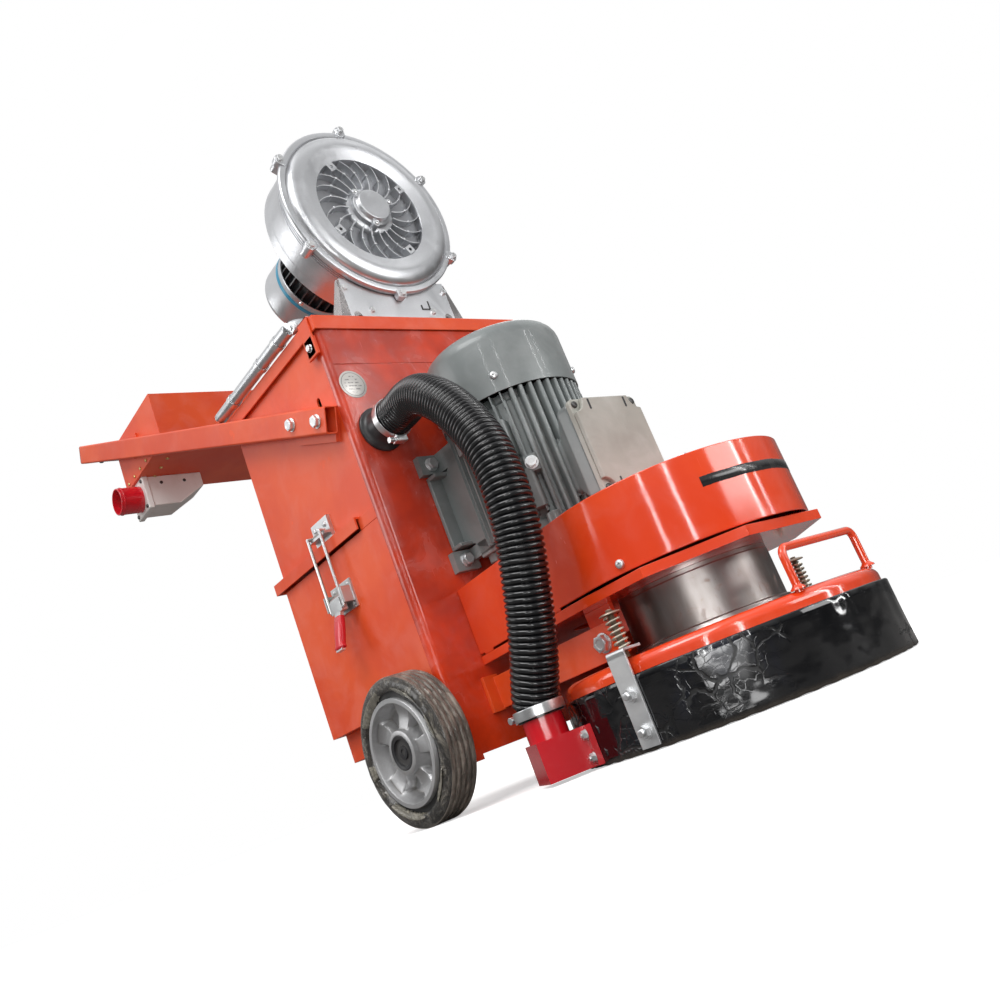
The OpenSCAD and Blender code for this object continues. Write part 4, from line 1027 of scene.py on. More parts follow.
@dataclass
class Hose:
    """The corrugated suction hose with its collar and clamps."""

    radius: float = 0.029
    depth: float = 0.0036
    pitch: float = 0.0072
    cuff: float = 0.012
    steps: int = 56

    def build(self) -> None:
        """Sweeps the ribs along the route and closes both ends with clamps."""
        route = [on_axle(*p) for p in HOSE_ROUTE]
        rough = spline(route, 400)
        length = sum((b - a).length for a, b in zip(rough, rough[1:]))
        ribs = round(length / self.pitch)
        path = spline(route, ribs * 10)

        def radius(run: float) -> float:
            """Crest or groove at this distance along the hose."""
            if run < self.cuff or run > length - self.cuff:
                return self.radius - 0.0006
            wave = abs(sin(pi * run / (length / ribs)))
            return self.radius - self.depth * (1 - wave ** 0.6)

        hose = Mesher().sweep(path, radius, self.steps, up=Y_AXIS)
        obj = hose.piece("suction_hose", None, HOSE_BLACK, ("hose",), crisp=80)
        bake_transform(obj)
        self.collar()
        self.clamp("hose_clamp_top", route[0] + (route[1] - route[0]) * 0.2, X_AXIS, CHASSIS)
        self.clamp("hose_clamp_low", route[-1] + vec(0, 0, 0.008), -Z_AXIS, "skirt")

    def collar(self) -> None:
        """The black flange where the hose meets the cabinet."""
        box = Box.of("hose_collar")
        face = Box.of("front_panel").hi.x
        frame = facing(vec(face, box.mid.y, box.mid.z), X_AXIS)
        back, outer = box.lo.x - face, box.size.z / 2
        reach, bore = box.hi.x - face, self.radius - 0.005
        profile = [(bore, back), (bore + 0.003, back), (bore + 0.003, 0), (outer - 0.001, 0), (outer, 0.001),
                   (outer, 0.0045), (outer - 0.0015, 0.006), (bore + 0.0065, 0.0065), (bore + 0.0045, 0.009),
                   (bore + 0.003, 0.012), (bore + 0.003, reach), (bore, reach)]
        Mesher().lathe(profile, frame, 72).piece("hose_collar_ring", CHASSIS, BLACK_PLASTIC, ("hose_collar",),
                                                 crisp=50)

    def clamp(self, name: str, centre: Vector, axis: Vector, body: str) -> None:
        """A worm-drive clamp: slotted band, housing and hex screw."""
        frame = facing(centre, axis, Y_AXIS)
        r, half = self.radius + 0.0004, 0.006
        band = Mesher().lathe([(r, -half), (r + 0.0009, -half), (r + 0.0012, -half + 0.0008),
                               (r + 0.0012, half - 0.0008), (r + 0.0009, half), (r, half)], frame, 72)
        for i in range(30):
            a = TURN * (0.06 + 0.3 * i / 30)
            spot = frame @ spin(a)
            band.box((r + 0.001, -0.0006, -0.0035), (r + 0.0016, 0.0006, 0.0035), spot)
        band.box((r, -0.009, -0.0065), (r + 0.0085, 0.009, 0.0065), frame)
        screw = frame @ shift(r + 0.0045, -0.019, 0) @ Matrix.Rotation(-pi / 2, 4, "X")
        band.lathe([(0, 0), (0.0042, 0), (0.0042, 0.007), (0.0026, 0.008), (0.0026, 0.024), (0, 0.024)],
                   screw, 24, closed=False)
        band.piece(name, body, ZINC, bevel=0.0004)


# ---- cabinet ---------------------------------------------------------------


@dataclass
class Cabinet:
    """Frame, sheet housing, lid, filter and dust bin."""

    edge: float = 0.0011

    def build(self) -> None:
        """Dresses the sheet pieces and adds clamps, tube, label, seams and screws."""
        # The front panel takes the darker copy of the orange paint, as painted shade.
        for node, paint in (("base_frame", ORANGE), ("filter_housing", ORANGE), ("front_panel", SHADED_PANEL_ORANGE)):
            dressed(node, node + "_sheet", paint, bevel=self.edge, segments=3)
        self.lid()
        dressed("filter_cartridge", "filter_pleats", PAPER, bevel=0.0008)
        self.bin()
        self.seams()
        self.label()
        self.clamps()
        self.tube()
        self.side_strip()

    def lid(self) -> None:
        """The lid: a tray with folded, rounded rim corners."""
        dressed("lid", "lid_tray", ORANGE, bevel=0.0022, segments=3)

    def bin(self) -> None:
        """The dust bin, its top seal and the feet of its pull handle."""
        dressed("dust_bin", "dust_bin_sheet", ORANGE, "bin", bevel=self.edge,
                                           segments=3)
        box, wall = Box.of("dust_bin"), Box.of("filter_housing").lo.x + 0.018
        seal = Mesher()
        seal.prism(rounded((box.size.x - 0.05) / 2, box.size.y / 2 - 0.004, 0.004), 0.002,
                   shift(box.mid.x + 0.012, 0, box.hi.z),
                   rounded((box.size.x - 0.07) / 2, box.size.y / 2 - 0.012, 0.003))
        seal.piece("bin_seal", "bin", BELT_BLACK)
        plate = Mesher()
        for side in Side:
            plate.prism(rounded(0.013, 0.02, 0.004), 0.003,
                        facing(vec(wall, side.value * 0.066, Box.of("dust_bin").lo.z + 0.155), -X_AXIS))
        plate.piece("bin_handle_feet", "bin", ORANGE, bevel=0.0005)

    def seams(self) -> None:
        """Weld beads at the corners."""
        front, low = Box.of("front_panel"), Box.of("filter_housing").lo.z
        rng = random.Random(11)
        beads = Mesher()
        for side in Side:
            x, y = front.lo.x - 0.0006, side.value * (front.hi.y - 0.0022)
            path = [vec(x, y, low + 0.02 + (front.hi.z - low - 0.06) * i / 70) for i in range(71)]
            waver = [p + vec(rng.uniform(-1, 1) * 0.0002, 0, 0) for p in path]
            beads.sweep(waver, lambda run: 0.0014 + 0.0002 * sin(run * 2400), 8)
        beads.piece("corner_seams", CHASSIS, ORANGE, crisp=80)

    def label(self) -> None:
        """The round foil label on the front face."""
        face = Box.of("front_panel")
        centre = vec(face.hi.x, -0.171, 0.618)
        frame = facing(centre, X_AXIS)
        finish = Sticker("round_label", "zinc_steel", centre)
        Mesher().lathe([(0, 0), (0.0225, 0), (0.0225, 0.0003), (0.0222, 0.0005), (0, 0.0005)], frame, 64,
                       closed=False).piece("round_label_foil", CHASSIS, finish, crisp=60)

    def clamps(self) -> None:
        """Corner straps that hold the lid down, each with a bolt and nut."""
        lid = Box.of("lid")
        for side in Side:
            s = side.value
            y = s * lid.hi.y
            x = lid.hi.x - 0.024
            strap, steel = Mesher(), Mesher()
            out = s * 0.0035
            lo_y, hi_y = sorted((y, y + out))
            strap.box((x - 0.014, lo_y, lid.lo.z - 0.036), (x + 0.014, hi_y, lid.hi.z + 0.0035))
            lo_y, hi_y = sorted((y - s * 0.016, y + out))
            strap.box((x - 0.014, lo_y, lid.hi.z + 0.0002), (x + 0.014, hi_y, lid.hi.z + 0.0035))
            wall = s * Box.of("front_panel").hi.y
            lo_y, hi_y = sorted((wall, wall + s * 0.0075))
            strap.box((x - 0.012, lo_y, lid.lo.z - 0.034), (x + 0.012, hi_y, lid.lo.z - 0.004))
            strap.piece(f"lid_strap_{side.word}", CHASSIS, ORANGE, bevel=0.0012, segments=3)
            nut_on_stud(steel, vec(x, y - s * 0.009, lid.hi.z + 0.0035), Z_AXIS, 0.003, 0.009)
            hex_head(steel, vec(x, y + out, lid.lo.z - 0.02), vec(0, s, 0), 0.003)
            steel.piece(f"lid_strap_bolts_{side.word}", CHASSIS, ZINC, bevel=0.0003)

    def tube(self) -> None:
        """The silver conduit along the right edge of the lid, in its saddles."""
        lid = Box.of("lid")
        r, y = 0.0105, lid.lo.y - 0.004
        height = lid.hi.z + r + 0.002
        path = [vec(lid.lo.x - 0.006, y, height), vec(lid.lo.x + 0.01, y, height),
                vec(lid.hi.x - 0.08, y, height), vec(lid.hi.x - 0.06, y + 0.003, height),
                vec(lid.hi.x - 0.052, y + 0.012, height + 0.001),
                vec(lid.hi.x - 0.05, y + 0.026, height + 0.001)]
        pipe = Mesher().sweep(spline(path, 90), r, 32)
        pipe.piece("lid_conduit", CHASSIS, BLOWER_SILVER, crisp=60)
        saddles = Mesher()
        for x in (lid.lo.x + 0.05, lid.mid.x, lid.hi.x - 0.1):
            frame = facing(vec(x, y, height), X_AXIS)
            saddles.lathe([(r + 0.0002, -0.006), (r + 0.0014, -0.006), (r + 0.0014, 0.006),
                           (r + 0.0002, 0.006)],
                          frame, 40)
            saddles.box((x - 0.006, y + 0.009, lid.hi.z), (x + 0.006, y + 0.03, lid.hi.z + 0.0016))
            pan_screw(saddles, vec(x, y + 0.022, lid.hi.z + 0.0016), Z_AXIS, 0.0035)
        saddles.piece("conduit_saddles", CHASSIS, ZINC, bevel=0.0003)

    def side_strip(self) -> None:
        """Closes the side above the bin between the rim and the front panel's fold."""
        front, bin_box = Box.of("front_panel"), Box.of("dust_bin")
        strip = Mesher()
        for side in Side:
            lo, hi = sorted((side.value * (front.hi.y - 0.003), side.value * front.hi.y))
            strip.box((front.hi.x - 0.062, lo, bin_box.hi.z + 0.0006),
                      (front.lo.x - 0.0003, hi, bin_box.hi.z + 0.0184))
        strip.piece("side_strips", CHASSIS, ORANGE, bevel=0.0006)


# ---- wheels ----------------------------------------------------------------


@dataclass
class Wheel:
    """One road wheel: cast hub with five pockets, tyre, bore cap."""

    side: Side
    pockets: int = 5
    cap: float = 0.0232

    def build(self) -> None:
        """Makes tyre, hub, cap and film tatters."""
        word = self.side.word
        tyre, hub = Box.of(f"wheel_{word}_tyre"), Box.of(f"wheel_{word}_hub")
        axis = vec(0, self.side.value, 0)
        centre = vec(tyre.mid.x, tyre.mid.y, tyre.mid.z)
        half, outer, rim = tyre.size.y / 2, tyre.size.z / 2 + 0.0002, hub.size.z / 2
        frame = facing(centre, axis)
        self.tyre(word, frame, half, outer, rim)
        self.hub(word, frame, half, rim)
        self.plug(word, frame, half)
        self.tatters(word, frame, half, rim)

    def tyre(self, word: str, frame: Matrix, half: float, outer: float, rim: float) -> None:
        """Tyre section with four grooves, sidewalls bulged over a recess by the rim."""
        lip = rim + 0.009
        side = [(rim, half - 0.008), (lip - 0.003, half - 0.008), (lip - 0.0005, half - 0.0065),
                (lip + 0.0005, half - 0.001), (lip + 0.003, half), (outer - 0.013, half + 0.0004),
                (outer - 0.008, half - 0.0008), (outer - 0.0035, half - 0.003),
                (outer - 0.0012, half - 0.006)]
        profile = [(r, -h) for r, h in side] + [(outer - 0.004, 0.008 - half), (outer - 0.004, half - 0.008)]
        profile += side[::-1]
        tread = [(outer - 0.005, 0.0055 - half), (outer - 0.0008, 0.0055 - half), (outer, 0.008 - half)]
        for i in range(1, 5):
            at = -half + 0.004 + i * (half - 0.004) * 2 / 5
            tread += [(outer, at - 0.0024), (outer - 0.0008, at - 0.0014), (outer - 0.0032, at - 0.0007),
                      (outer - 0.0032, at + 0.0007), (outer - 0.0008, at + 0.0014), (outer, at + 0.0024)]
        tread += [(outer, half - 0.008), (outer - 0.0008, half - 0.0055), (outer - 0.005, half - 0.0055)]
        running = Mesher().lathe(tread, frame, 224)
        running.piece(f"tyre_tread_{word}", f"wheel_{word}", TREAD, crisp=50)
        # A black ring laid on the floor of the deep groove between hub and tyre: painted shade in the groove.
        dark = Mesher().lathe([(rim - 0.001, half - 0.0095), (rim - 0.001, half - 0.0068),
                               (lip - 0.0006, half - 0.0068), (lip - 0.0006, half - 0.0095)], frame, 96)
        dark.piece(f"rim_recess_{word}", f"wheel_{word}", BELT_BLACK, crisp=50)

        def lumps(a: float, r: float, h: float) -> tuple[float, float]:
            """Folds of film over the sidewalls, none on the running face."""
            depth = min(1.0, max(0.0, (outer - r) / 0.01)) if abs(h) > half - 0.0035 and r > lip else 0.0
            wave = sin(17 * a + 60 * r) + 0.7 * sin(31 * a - 90 * r) + 0.5 * sin(67 * a + 200 * r)
            return r, h - copysign(0.0007 * (1 + wave / 2.2) * depth, h)

        mesh = Mesher().lathe(profile, frame, 256, shape=lumps)
        mesh.piece(f"tyre_{word}", f"wheel_{word}", TYRE_FILM, (f"wheel_{word}_tyre",), crisp=60)

    def hub(self, word: str, frame: Matrix, half: float, rim: float) -> None:
        """Cast hub: rim flange, dished web with pockets between spokes, boss."""
        boss, lip = 0.030, rim - 0.008
        face, web, deep = half - 0.0015, half - 0.009, half - 0.026
        bore = 0.0126

        def cast(a: float, r: float, h: float) -> tuple[float, float]:
            """Sinks the web into pockets between the spokes."""
            if not (boss - 0.001 < r < lip + 0.001) or h < 0:
                return r, h
            across = (r - boss) / (lip - boss)
            near = abs((a * self.pockets / TURN + 0.5) % 1 - 0.5) * 2
            spoke = 0.34 + 0.1 * (1 - across)
            side = min(1, max(0, (near - spoke) / 0.16))
            ends = min(1, max(0, min(across, 1 - across) / 0.16))
            pit = side * side * (3 - 2 * side) * ends * ends * (3 - 2 * ends)
            return r, h - pit * (h - deep)

        span = [boss + (lip - boss) * i / 22 for i in range(23)]
        profile = [(bore, half - 0.007), (self.cap, half - 0.007), (self.cap, face), (boss - 0.003, face),
                   (boss - 0.001, face - 0.001)]
        profile += [(r, web - 0.004 * sin(pi * i / 22)) for i, r in enumerate(span)]
        profile += [(lip + 0.0008, half - 0.003), (lip + 0.002, half), (rim - 0.0006, half),
                    (rim, half - 0.0006), (rim, -half), (rim - 0.004, -half), (rim - 0.007, -half + 0.012),
                    (rim - 0.02, -half + 0.02), (boss + 0.004, -half + 0.02), (boss, -half + 0.002),
                    (bore, -half + 0.001)]
        Mesher().lathe(profile, frame, 240, shape=cast).piece(
            f"hub_{word}", f"wheel_{word}", CAST, (f"wheel_{word}_hub",), crisp=45)

    def plug(self, word: str, frame: Matrix, half: float) -> None:
        """The black cap over the bore, with its raised collar and centre pip."""
        r = self.cap - 0.0003
        profile = [(0, half - 0.005), (0.004, half - 0.005), (0.0045, half - 0.0035), (0.009, half - 0.0035),
                   (0.0095, half - 0.0055), (r - 0.006, half - 0.0055), (r - 0.005, half - 0.002),
                   (r - 0.001, half - 0.0012), (r, half - 0.002), (r, half - 0.0068), (0, half - 0.0068)]
        Mesher().lathe(profile, frame, 72, closed=False).piece(f"bore_cap_{word}", f"wheel_{word}",
                                                               BLACK_PLASTIC, crisp=40)

    def tatters(self, word: str, frame: Matrix, half: float, rim: float) -> None:
        """The film's torn inner edge, hanging over the recess by the rim."""
        rng = random.Random(5)
        film = Mesher()
        edge = rim + 0.0105
        for start, end, deep in ((0.0, 0.06, 0.011), (0.1, 0.2, 0.005), (0.27, 0.4, 0.008),
                                 (0.5, 0.54, 0.011), (0.62, 0.76, 0.005), (0.84, 0.93, 0.008)):
            count = int((end - start) * 300)
            rows = []
            for i in range(count + 1):
                a = TURN * (start + (end - start) * i / count)
                fade = sin(pi * i / count) ** 0.4
                reach = 0.001 + fade * deep * rng.uniform(0.6, 1.0)
                row = []
                for k in range(6):
                    t = k / 5
                    r = edge + 0.004 - (reach + 0.004) * t
                    h = half + 0.0006 + 0.0008 * rng.random() - 0.006 * t * t
                    row.append(frame @ vec(r * cos(a), r * sin(a), h))
                rows.append(row)
            film.skin(rows, closed=False, capped=False)
        obj = film.piece(f"film_tatters_{word}", f"wheel_{word}", FILM, crisp=70)
        solid = obj.modifiers.new("thickness", "SOLIDIFY")
        solid.thickness = 0.0003


# ---- dust bin latches ------------------------------------------------------


@dataclass
class Latch:
    """One toggle latch: keeper, base, lever with a red grip, wire loop."""

    side: Side
    grip_tilt: float = 17.0

    def build(self) -> None:
        """Dresses the latch's steel and adds rivets and grip."""
        word, s = self.side.word, self.side.value
        lever = Box.of(f"latch_{word}_lever")
        for part, bevel in (("lever", 0.0007), ("loop", 0.0)):
            dressed(f"latch_{word}_{part}", f"latch_{part}_{word}", ZINC, f"{part}_{word}", bevel=bevel,
                    segments=3, crisp=35)
        wall = s * Box.of("dust_bin").hi.y
        rivets, keeper = Mesher(), Box.of("latch_keepers")
        for dx in (-0.021, 0.021):
            for dz in (-0.016, 0.016):
                seat = vec(keeper.mid.x + dx, wall + s * 0.003, Box.of("latch_bases").mid.z + dz)
                rivets.ball(seat, 0.0028, 0.5, facing(seat, vec(0, s, 0)))
        rivets.piece(f"latch_rivets_{word}", "bin", ZINC, crisp=60)
        screws = Mesher()
        for dx in (-0.015, 0.015):
            pan_screw(screws, vec(keeper.mid.x + dx, wall + s * 0.003, keeper.hi.z - 0.011),
                      vec(0, s, 0), 0.0042)
        screws.piece(f"keeper_screws_{word}", CHASSIS, ZINC, bevel=0.0002)
        self.grip(word, s, lever)

    def grip(self, word: str, s: int, lever: Box) -> None:
        """The soft red sleeve pushed over the lever's tongue."""
        tilt = radians(self.grip_tilt)
        down = vec(0, s * sin(tilt), -cos(tilt))
        tip = vec(lever.mid.x, s * (max(abs(lever.lo.y), abs(lever.hi.y)) - 0.0035), lever.lo.z + 0.003)
        start = tip - down * 0.05
        path = [start + down * (0.05 * i / 24) for i in range(25)]
        rows = []
        for i, p in enumerate(path):
            t = i / 24
            wide = 0.0100 + 0.0012 * sin(pi * min(1, t * 1.4)) - (0.002 if t > 0.97 else 0)
            wide += 0.0035 * max(0.0, 1 - abs(t - 0.93) / 0.07)
            thick = 0.0052 + 0.0006 * sin(pi * t) - (0.0025 if t > 0.96 else 0)
            out = down.cross(X_AXIS).normalized()
            ring = []
            for k in range(28):
                a = TURN * k / 28
                c, d = cos(a), sin(a)
                x = copysign(abs(c) ** 0.6, c) * wide
                y = copysign(abs(d) ** 0.6, d) * thick
                ring.append(p + X_AXIS * x + out * y)
            rows.append(ring)
        Mesher().skin(rows).piece(f"latch_grip_{word}", f"lever_{word}", RED_PLASTIC, crisp=60)


# ---- handle, control box and inlet -----------------------------------------


@dataclass
class Handle:
    """The two square tubes, their grip bar, bolts and end plugs."""

    front: tuple[float, float] = (0.029, 0.572)
    slope: float = 24.0
    length: float = 1.054
    corner: float = 0.0035
    wall: float = 0.002

    def frame(self, y: float, run: float = 0.0) -> Matrix:
        """A frame on a tube's middle line, its Z running back up the tube."""
        a = radians(self.slope)
        back = vec(-cos(a), 0, sin(a))
        return facing(on_axle(self.front[0], y, self.front[1]) + back * run, back)

    def build(self) -> None:
        """Makes tubes, bar, grips, bolts and plugs."""
        for side in Side:
            node = Box.of(f"handle_{side.word}")
            y, half = node.mid.y, node.size.y / 2
            outer = rounded(half, 0.02, self.corner)
            inner = rounded(half - self.wall, 0.02 - self.wall, self.corner - self.wall)
            tube = Mesher().prism(outer, self.length, self.frame(y), inner)
            tube.piece(f"handle_tube_{side.word}", CHASSIS, ORANGE, (f"handle_{side.word}",),
                       bevel=0.0005, crisp=50)
            plug = Mesher().prism(rounded(half, 0.02, self.corner), 0.003, self.frame(y, self.length))
            plug.piece(f"tube_plug_{side.word}", CHASSIS, BLACK_PLASTIC, bevel=0.001)
        self.bar()
        self.bolts()

    def bar(self) -> None:
        """The cross bar with its two ribbed rubber grips."""
        box = Box.of("handle_bar")
        frame = facing(vec(box.mid.x, box.lo.y, box.mid.z), Y_AXIS)
        r, long = box.size.z / 2, box.size.y
        Mesher().lathe([(0, 0), (r, 0), (r, long), (0, long)], frame, 64, closed=False).piece(
            "grip_bar", CHASSIS, ORANGE, ("handle_bar",))
        for s, start in ((-1, 0.012), (1, long - 0.142)):
            profile = [(r, start), (r + 0.004, start + 0.001), (r + 0.006, start + 0.003),
                       (r + 0.006, start + 0.007)]
            for i in range(28):
                h = start + 0.009 + i * 0.0042
                profile += [(r + 0.0035, h), (r + 0.0035, h + 0.0021), (r + 0.0028, h + 0.0024),
                            (r + 0.0028, h + 0.0038)]
            end = start + 0.13
            profile += [(r + 0.006, end - 0.004), (r + 0.006, end - 0.001), (r + 0.004, end), (r, end)]
            Mesher().lathe(profile, frame, 64).piece(f"bar_grip_{'right' if s < 0 else 'left'}", CHASSIS,
                                                     HOSE_BLACK, bevel=0.0003)

    def bolts(self) -> None:
        """Zinc hex bolts with washers through the tubes."""
        steel = Mesher()
        for side in Side:
            node = Box.of(f"handle_{side.word}")
            out = node.lo.y if side.value < 0 else node.hi.y
            for run in (0.022, 0.095):
                seat = self.frame(0, run).translation
                hex_head(steel, vec(seat.x, out, seat.z), vec(0, side.value, 0), 0.005)
        feet = Box.of("motor_body").lo
        low = Box.of("motor_shields").lo.z
        for y in (-0.096, 0.096):
            for up in (0.021, 0.173):
                hex_head(steel, vec(feet.x + 0.0117, y, low + up), X_AXIS, 0.005)
        arm = Box.of("pivot_lugs")
        for y in (arm.lo.y, arm.hi.y):
            out = copysign(0.12, y)
            hex_head(steel, vec(Box.of("spindle").mid.x - 0.067, out, 0.130),
                     vec(0, copysign(1, y), 0), 0.006)
        steel.piece("hex_bolt_heads", CHASSIS, ZINC, ("hex_bolts",), bevel=0.0003)


@dataclass
class ControlBox:
    """Sheet-metal control box between the handles, with its mains inlet."""

    def build(self) -> None:
        """Makes box, panel, buttons, screws and inlet."""
        dressed("control_box", "control_box_sheet", ORANGE, bevel=0.0016,
                                              segments=3)
        dressed("control_panel", "control_panel_sheet", ORANGE, bevel=0.0006)
        self.screws()
        self.buttons()
        self.inlet()

    def screws(self) -> None:
        """Yellow-plated screws along the lower edges, and the panel's corners."""
        box, panel = Box.of("control_box"), Box.of("control_panel")
        brass = Mesher()
        for i in range(6):
            x = box.lo.x + 0.02 + i * (box.size.x - 0.04) / 5
            for y in (box.lo.y + 0.001, box.hi.y - 0.001):
                edge = copysign(abs(panel.hi.y), y)
                pan_screw(brass, vec(x, edge, panel.lo.z + 0.009), vec(0, copysign(1, y), 0), 0.0036)
        for y in (panel.lo.y + 0.012, panel.hi.y - 0.012):
            for z in (panel.lo.z + 0.01, panel.hi.z - 0.01):
                pan_screw(brass, vec(panel.lo.x, y, z), -X_AXIS, 0.004)
        for i in range(5):
            pan_screw(brass, vec(box.lo.x + 0.03 + i * 0.042, 0.165, panel.lo.z), -Z_AXIS, 0.0035)
            pan_screw(brass, vec(box.lo.x + 0.03 + i * 0.042, -0.165, panel.lo.z), -Z_AXIS, 0.0035)
        brass.piece("box_screws", CHASSIS, YELLOW_ZINC, bevel=0.0002)

    def buttons(self) -> None:
        """Start, stop and emergency heads with their collars."""
        panel = Box.of("control_panel").lo.x
        for node, finish in (("start_button", GREEN_PLASTIC), ("stop_button", RED_PLASTIC)):
            box = Box.of(node)
            frame = facing(vec(panel, box.mid.y, box.mid.z), -X_AXIS)
            r, reach = box.size.z / 2, panel - box.lo.x
            Mesher().lathe([(0, reach - 0.0006), (r - 0.004, reach), (r - 0.0015, reach - 0.0006),
                            (r, reach - 0.0025), (r, 0.0055), (0.0079, 0.0055), (0.0079, -0.01), (0, -0.01)],
                           frame, 64, closed=False).piece(node + "_cap", node, finish, (node,), crisp=50)
            Mesher().lathe([(0.0083, 0), (r + 0.004, 0), (r + 0.004, 0.0038), (r + 0.003, 0.0045),
                            (r + 0.0008, 0.0045), (r + 0.0008, 0.0011),
                            (0.0083, 0.0011)], frame, 64).piece(node + "_collar", CHASSIS, BLACK_PLASTIC,
                                                                bevel=0.0003)
        box = Box.of("emergency_stop")
        frame = facing(vec(panel, box.mid.y, box.mid.z), -X_AXIS)
        r, reach = box.size.z / 2, panel - box.lo.x
        dome = [(0, reach), (0.006, reach - 0.0001), (0.012, reach - 0.0012), (0.016, reach - 0.003),
                (r - 0.001, reach - 0.0058), (r, reach - 0.009), (r - 0.0008, reach - 0.0125),
                (r - 0.006, reach - 0.0135), (0.0079, reach - 0.0138), (0.0079, -0.01), (0, -0.01)]
        Mesher().lathe(dome, frame, 80, closed=False).piece("emergency_mushroom", "emergency_stop",
                                                            RED_PLASTIC, ("emergency_stop",), crisp=60)
        Mesher().lathe([(0.0083, 0), (0.026, 0), (0.026, 0.0006), (0.0245, 0.0011), (0.0083, 0.0011)], frame,
                       80).piece(
            "emergency_plate", CHASSIS, YELLOW_PLASTIC, bevel=0.0002)

    def inlet(self) -> None:
        """Off-white appliance inlet: flange, body, crimson shroud and brass pins."""
        dressed("inlet_housing", "inlet_body", WHITE_PLASTIC, bevel=0.003, segments=4)
        box, shroud = Box.of("inlet_housing"), Box.of("inlet_shroud")
        r, mouth = shroud.size.z / 2, shroud.lo.y
        frame = facing(vec(shroud.mid.x, mouth, shroud.mid.z), Y_AXIS)
        deep = box.lo.y - mouth
        Mesher().lathe([(r - 0.003, 0), (r - 0.0008, 0), (r, 0.0008), (r, 0.006), (r + 0.0014, 0.0065),
                        (r + 0.0014, 0.009), (r, 0.0095), (r, deep), (r - 0.003, deep),
                        (r - 0.003, deep - 0.004)],
                       frame, 80).piece("inlet_shroud_ring", CHASSIS, RED_PLASTIC, ("inlet_shroud",),
                                        bevel=0.0003)
        floor = Mesher().lathe([(0, deep - 0.006), (r - 0.0028, deep - 0.006), (r - 0.0028, deep), (0, deep)],
                               frame, 64, closed=False)
        floor.box((-0.004, r - 0.0045, 0.004), (0.004, r - 0.0025, deep - 0.004), frame)
        floor.piece("inlet_shroud_floor", CHASSIS, RED_PLASTIC, bevel=0.0003)
        pins = Mesher()
        for a in (45, 135, 225, 315):
            c, s = 0.013 * cos(radians(a)), 0.013 * sin(radians(a))
            pins.lathe([(0, 0.016), (0.0018, 0.0162), (0.003, 0.0185), (0.003, deep), (0, deep)],
                       frame @ shift(c, s, 0), 24, closed=False)
        pins.piece("inlet_pins", CHASSIS, BRASS, crisp=50)
        screws = Mesher()
        for dx in (-0.03, 0.03):
            for dz in (-0.028, 0.028):
                pan_screw(screws, vec(box.mid.x + dx, box.lo.y, shroud.mid.z + dz), -Y_AXIS, 0.0042)
        side = box.mid.x + 0.034
        for dy in (0.04, 0.09):
            pan_screw(screws, vec(side, box.lo.y + dy, shroud.mid.z + 0.02), X_AXIS, 0.0035)
        screws.piece("inlet_screws", CHASSIS, DARK_METAL, bevel=0.0002)
        rows = []
        for i in range(25):
            a = radians(-20 + 40 * i / 24)
            x, y = (r + 0.0004) * cos(a), (r + 0.0004) * sin(a)
            rows.append([frame @ vec(x, y, h) for h in (0.016, 0.036)])
        Mesher().skin(rows, closed=False, capped=False).piece("inlet_tag", CHASSIS, TAG_GREY)


# ---- motor -----------------------------------------------------------------


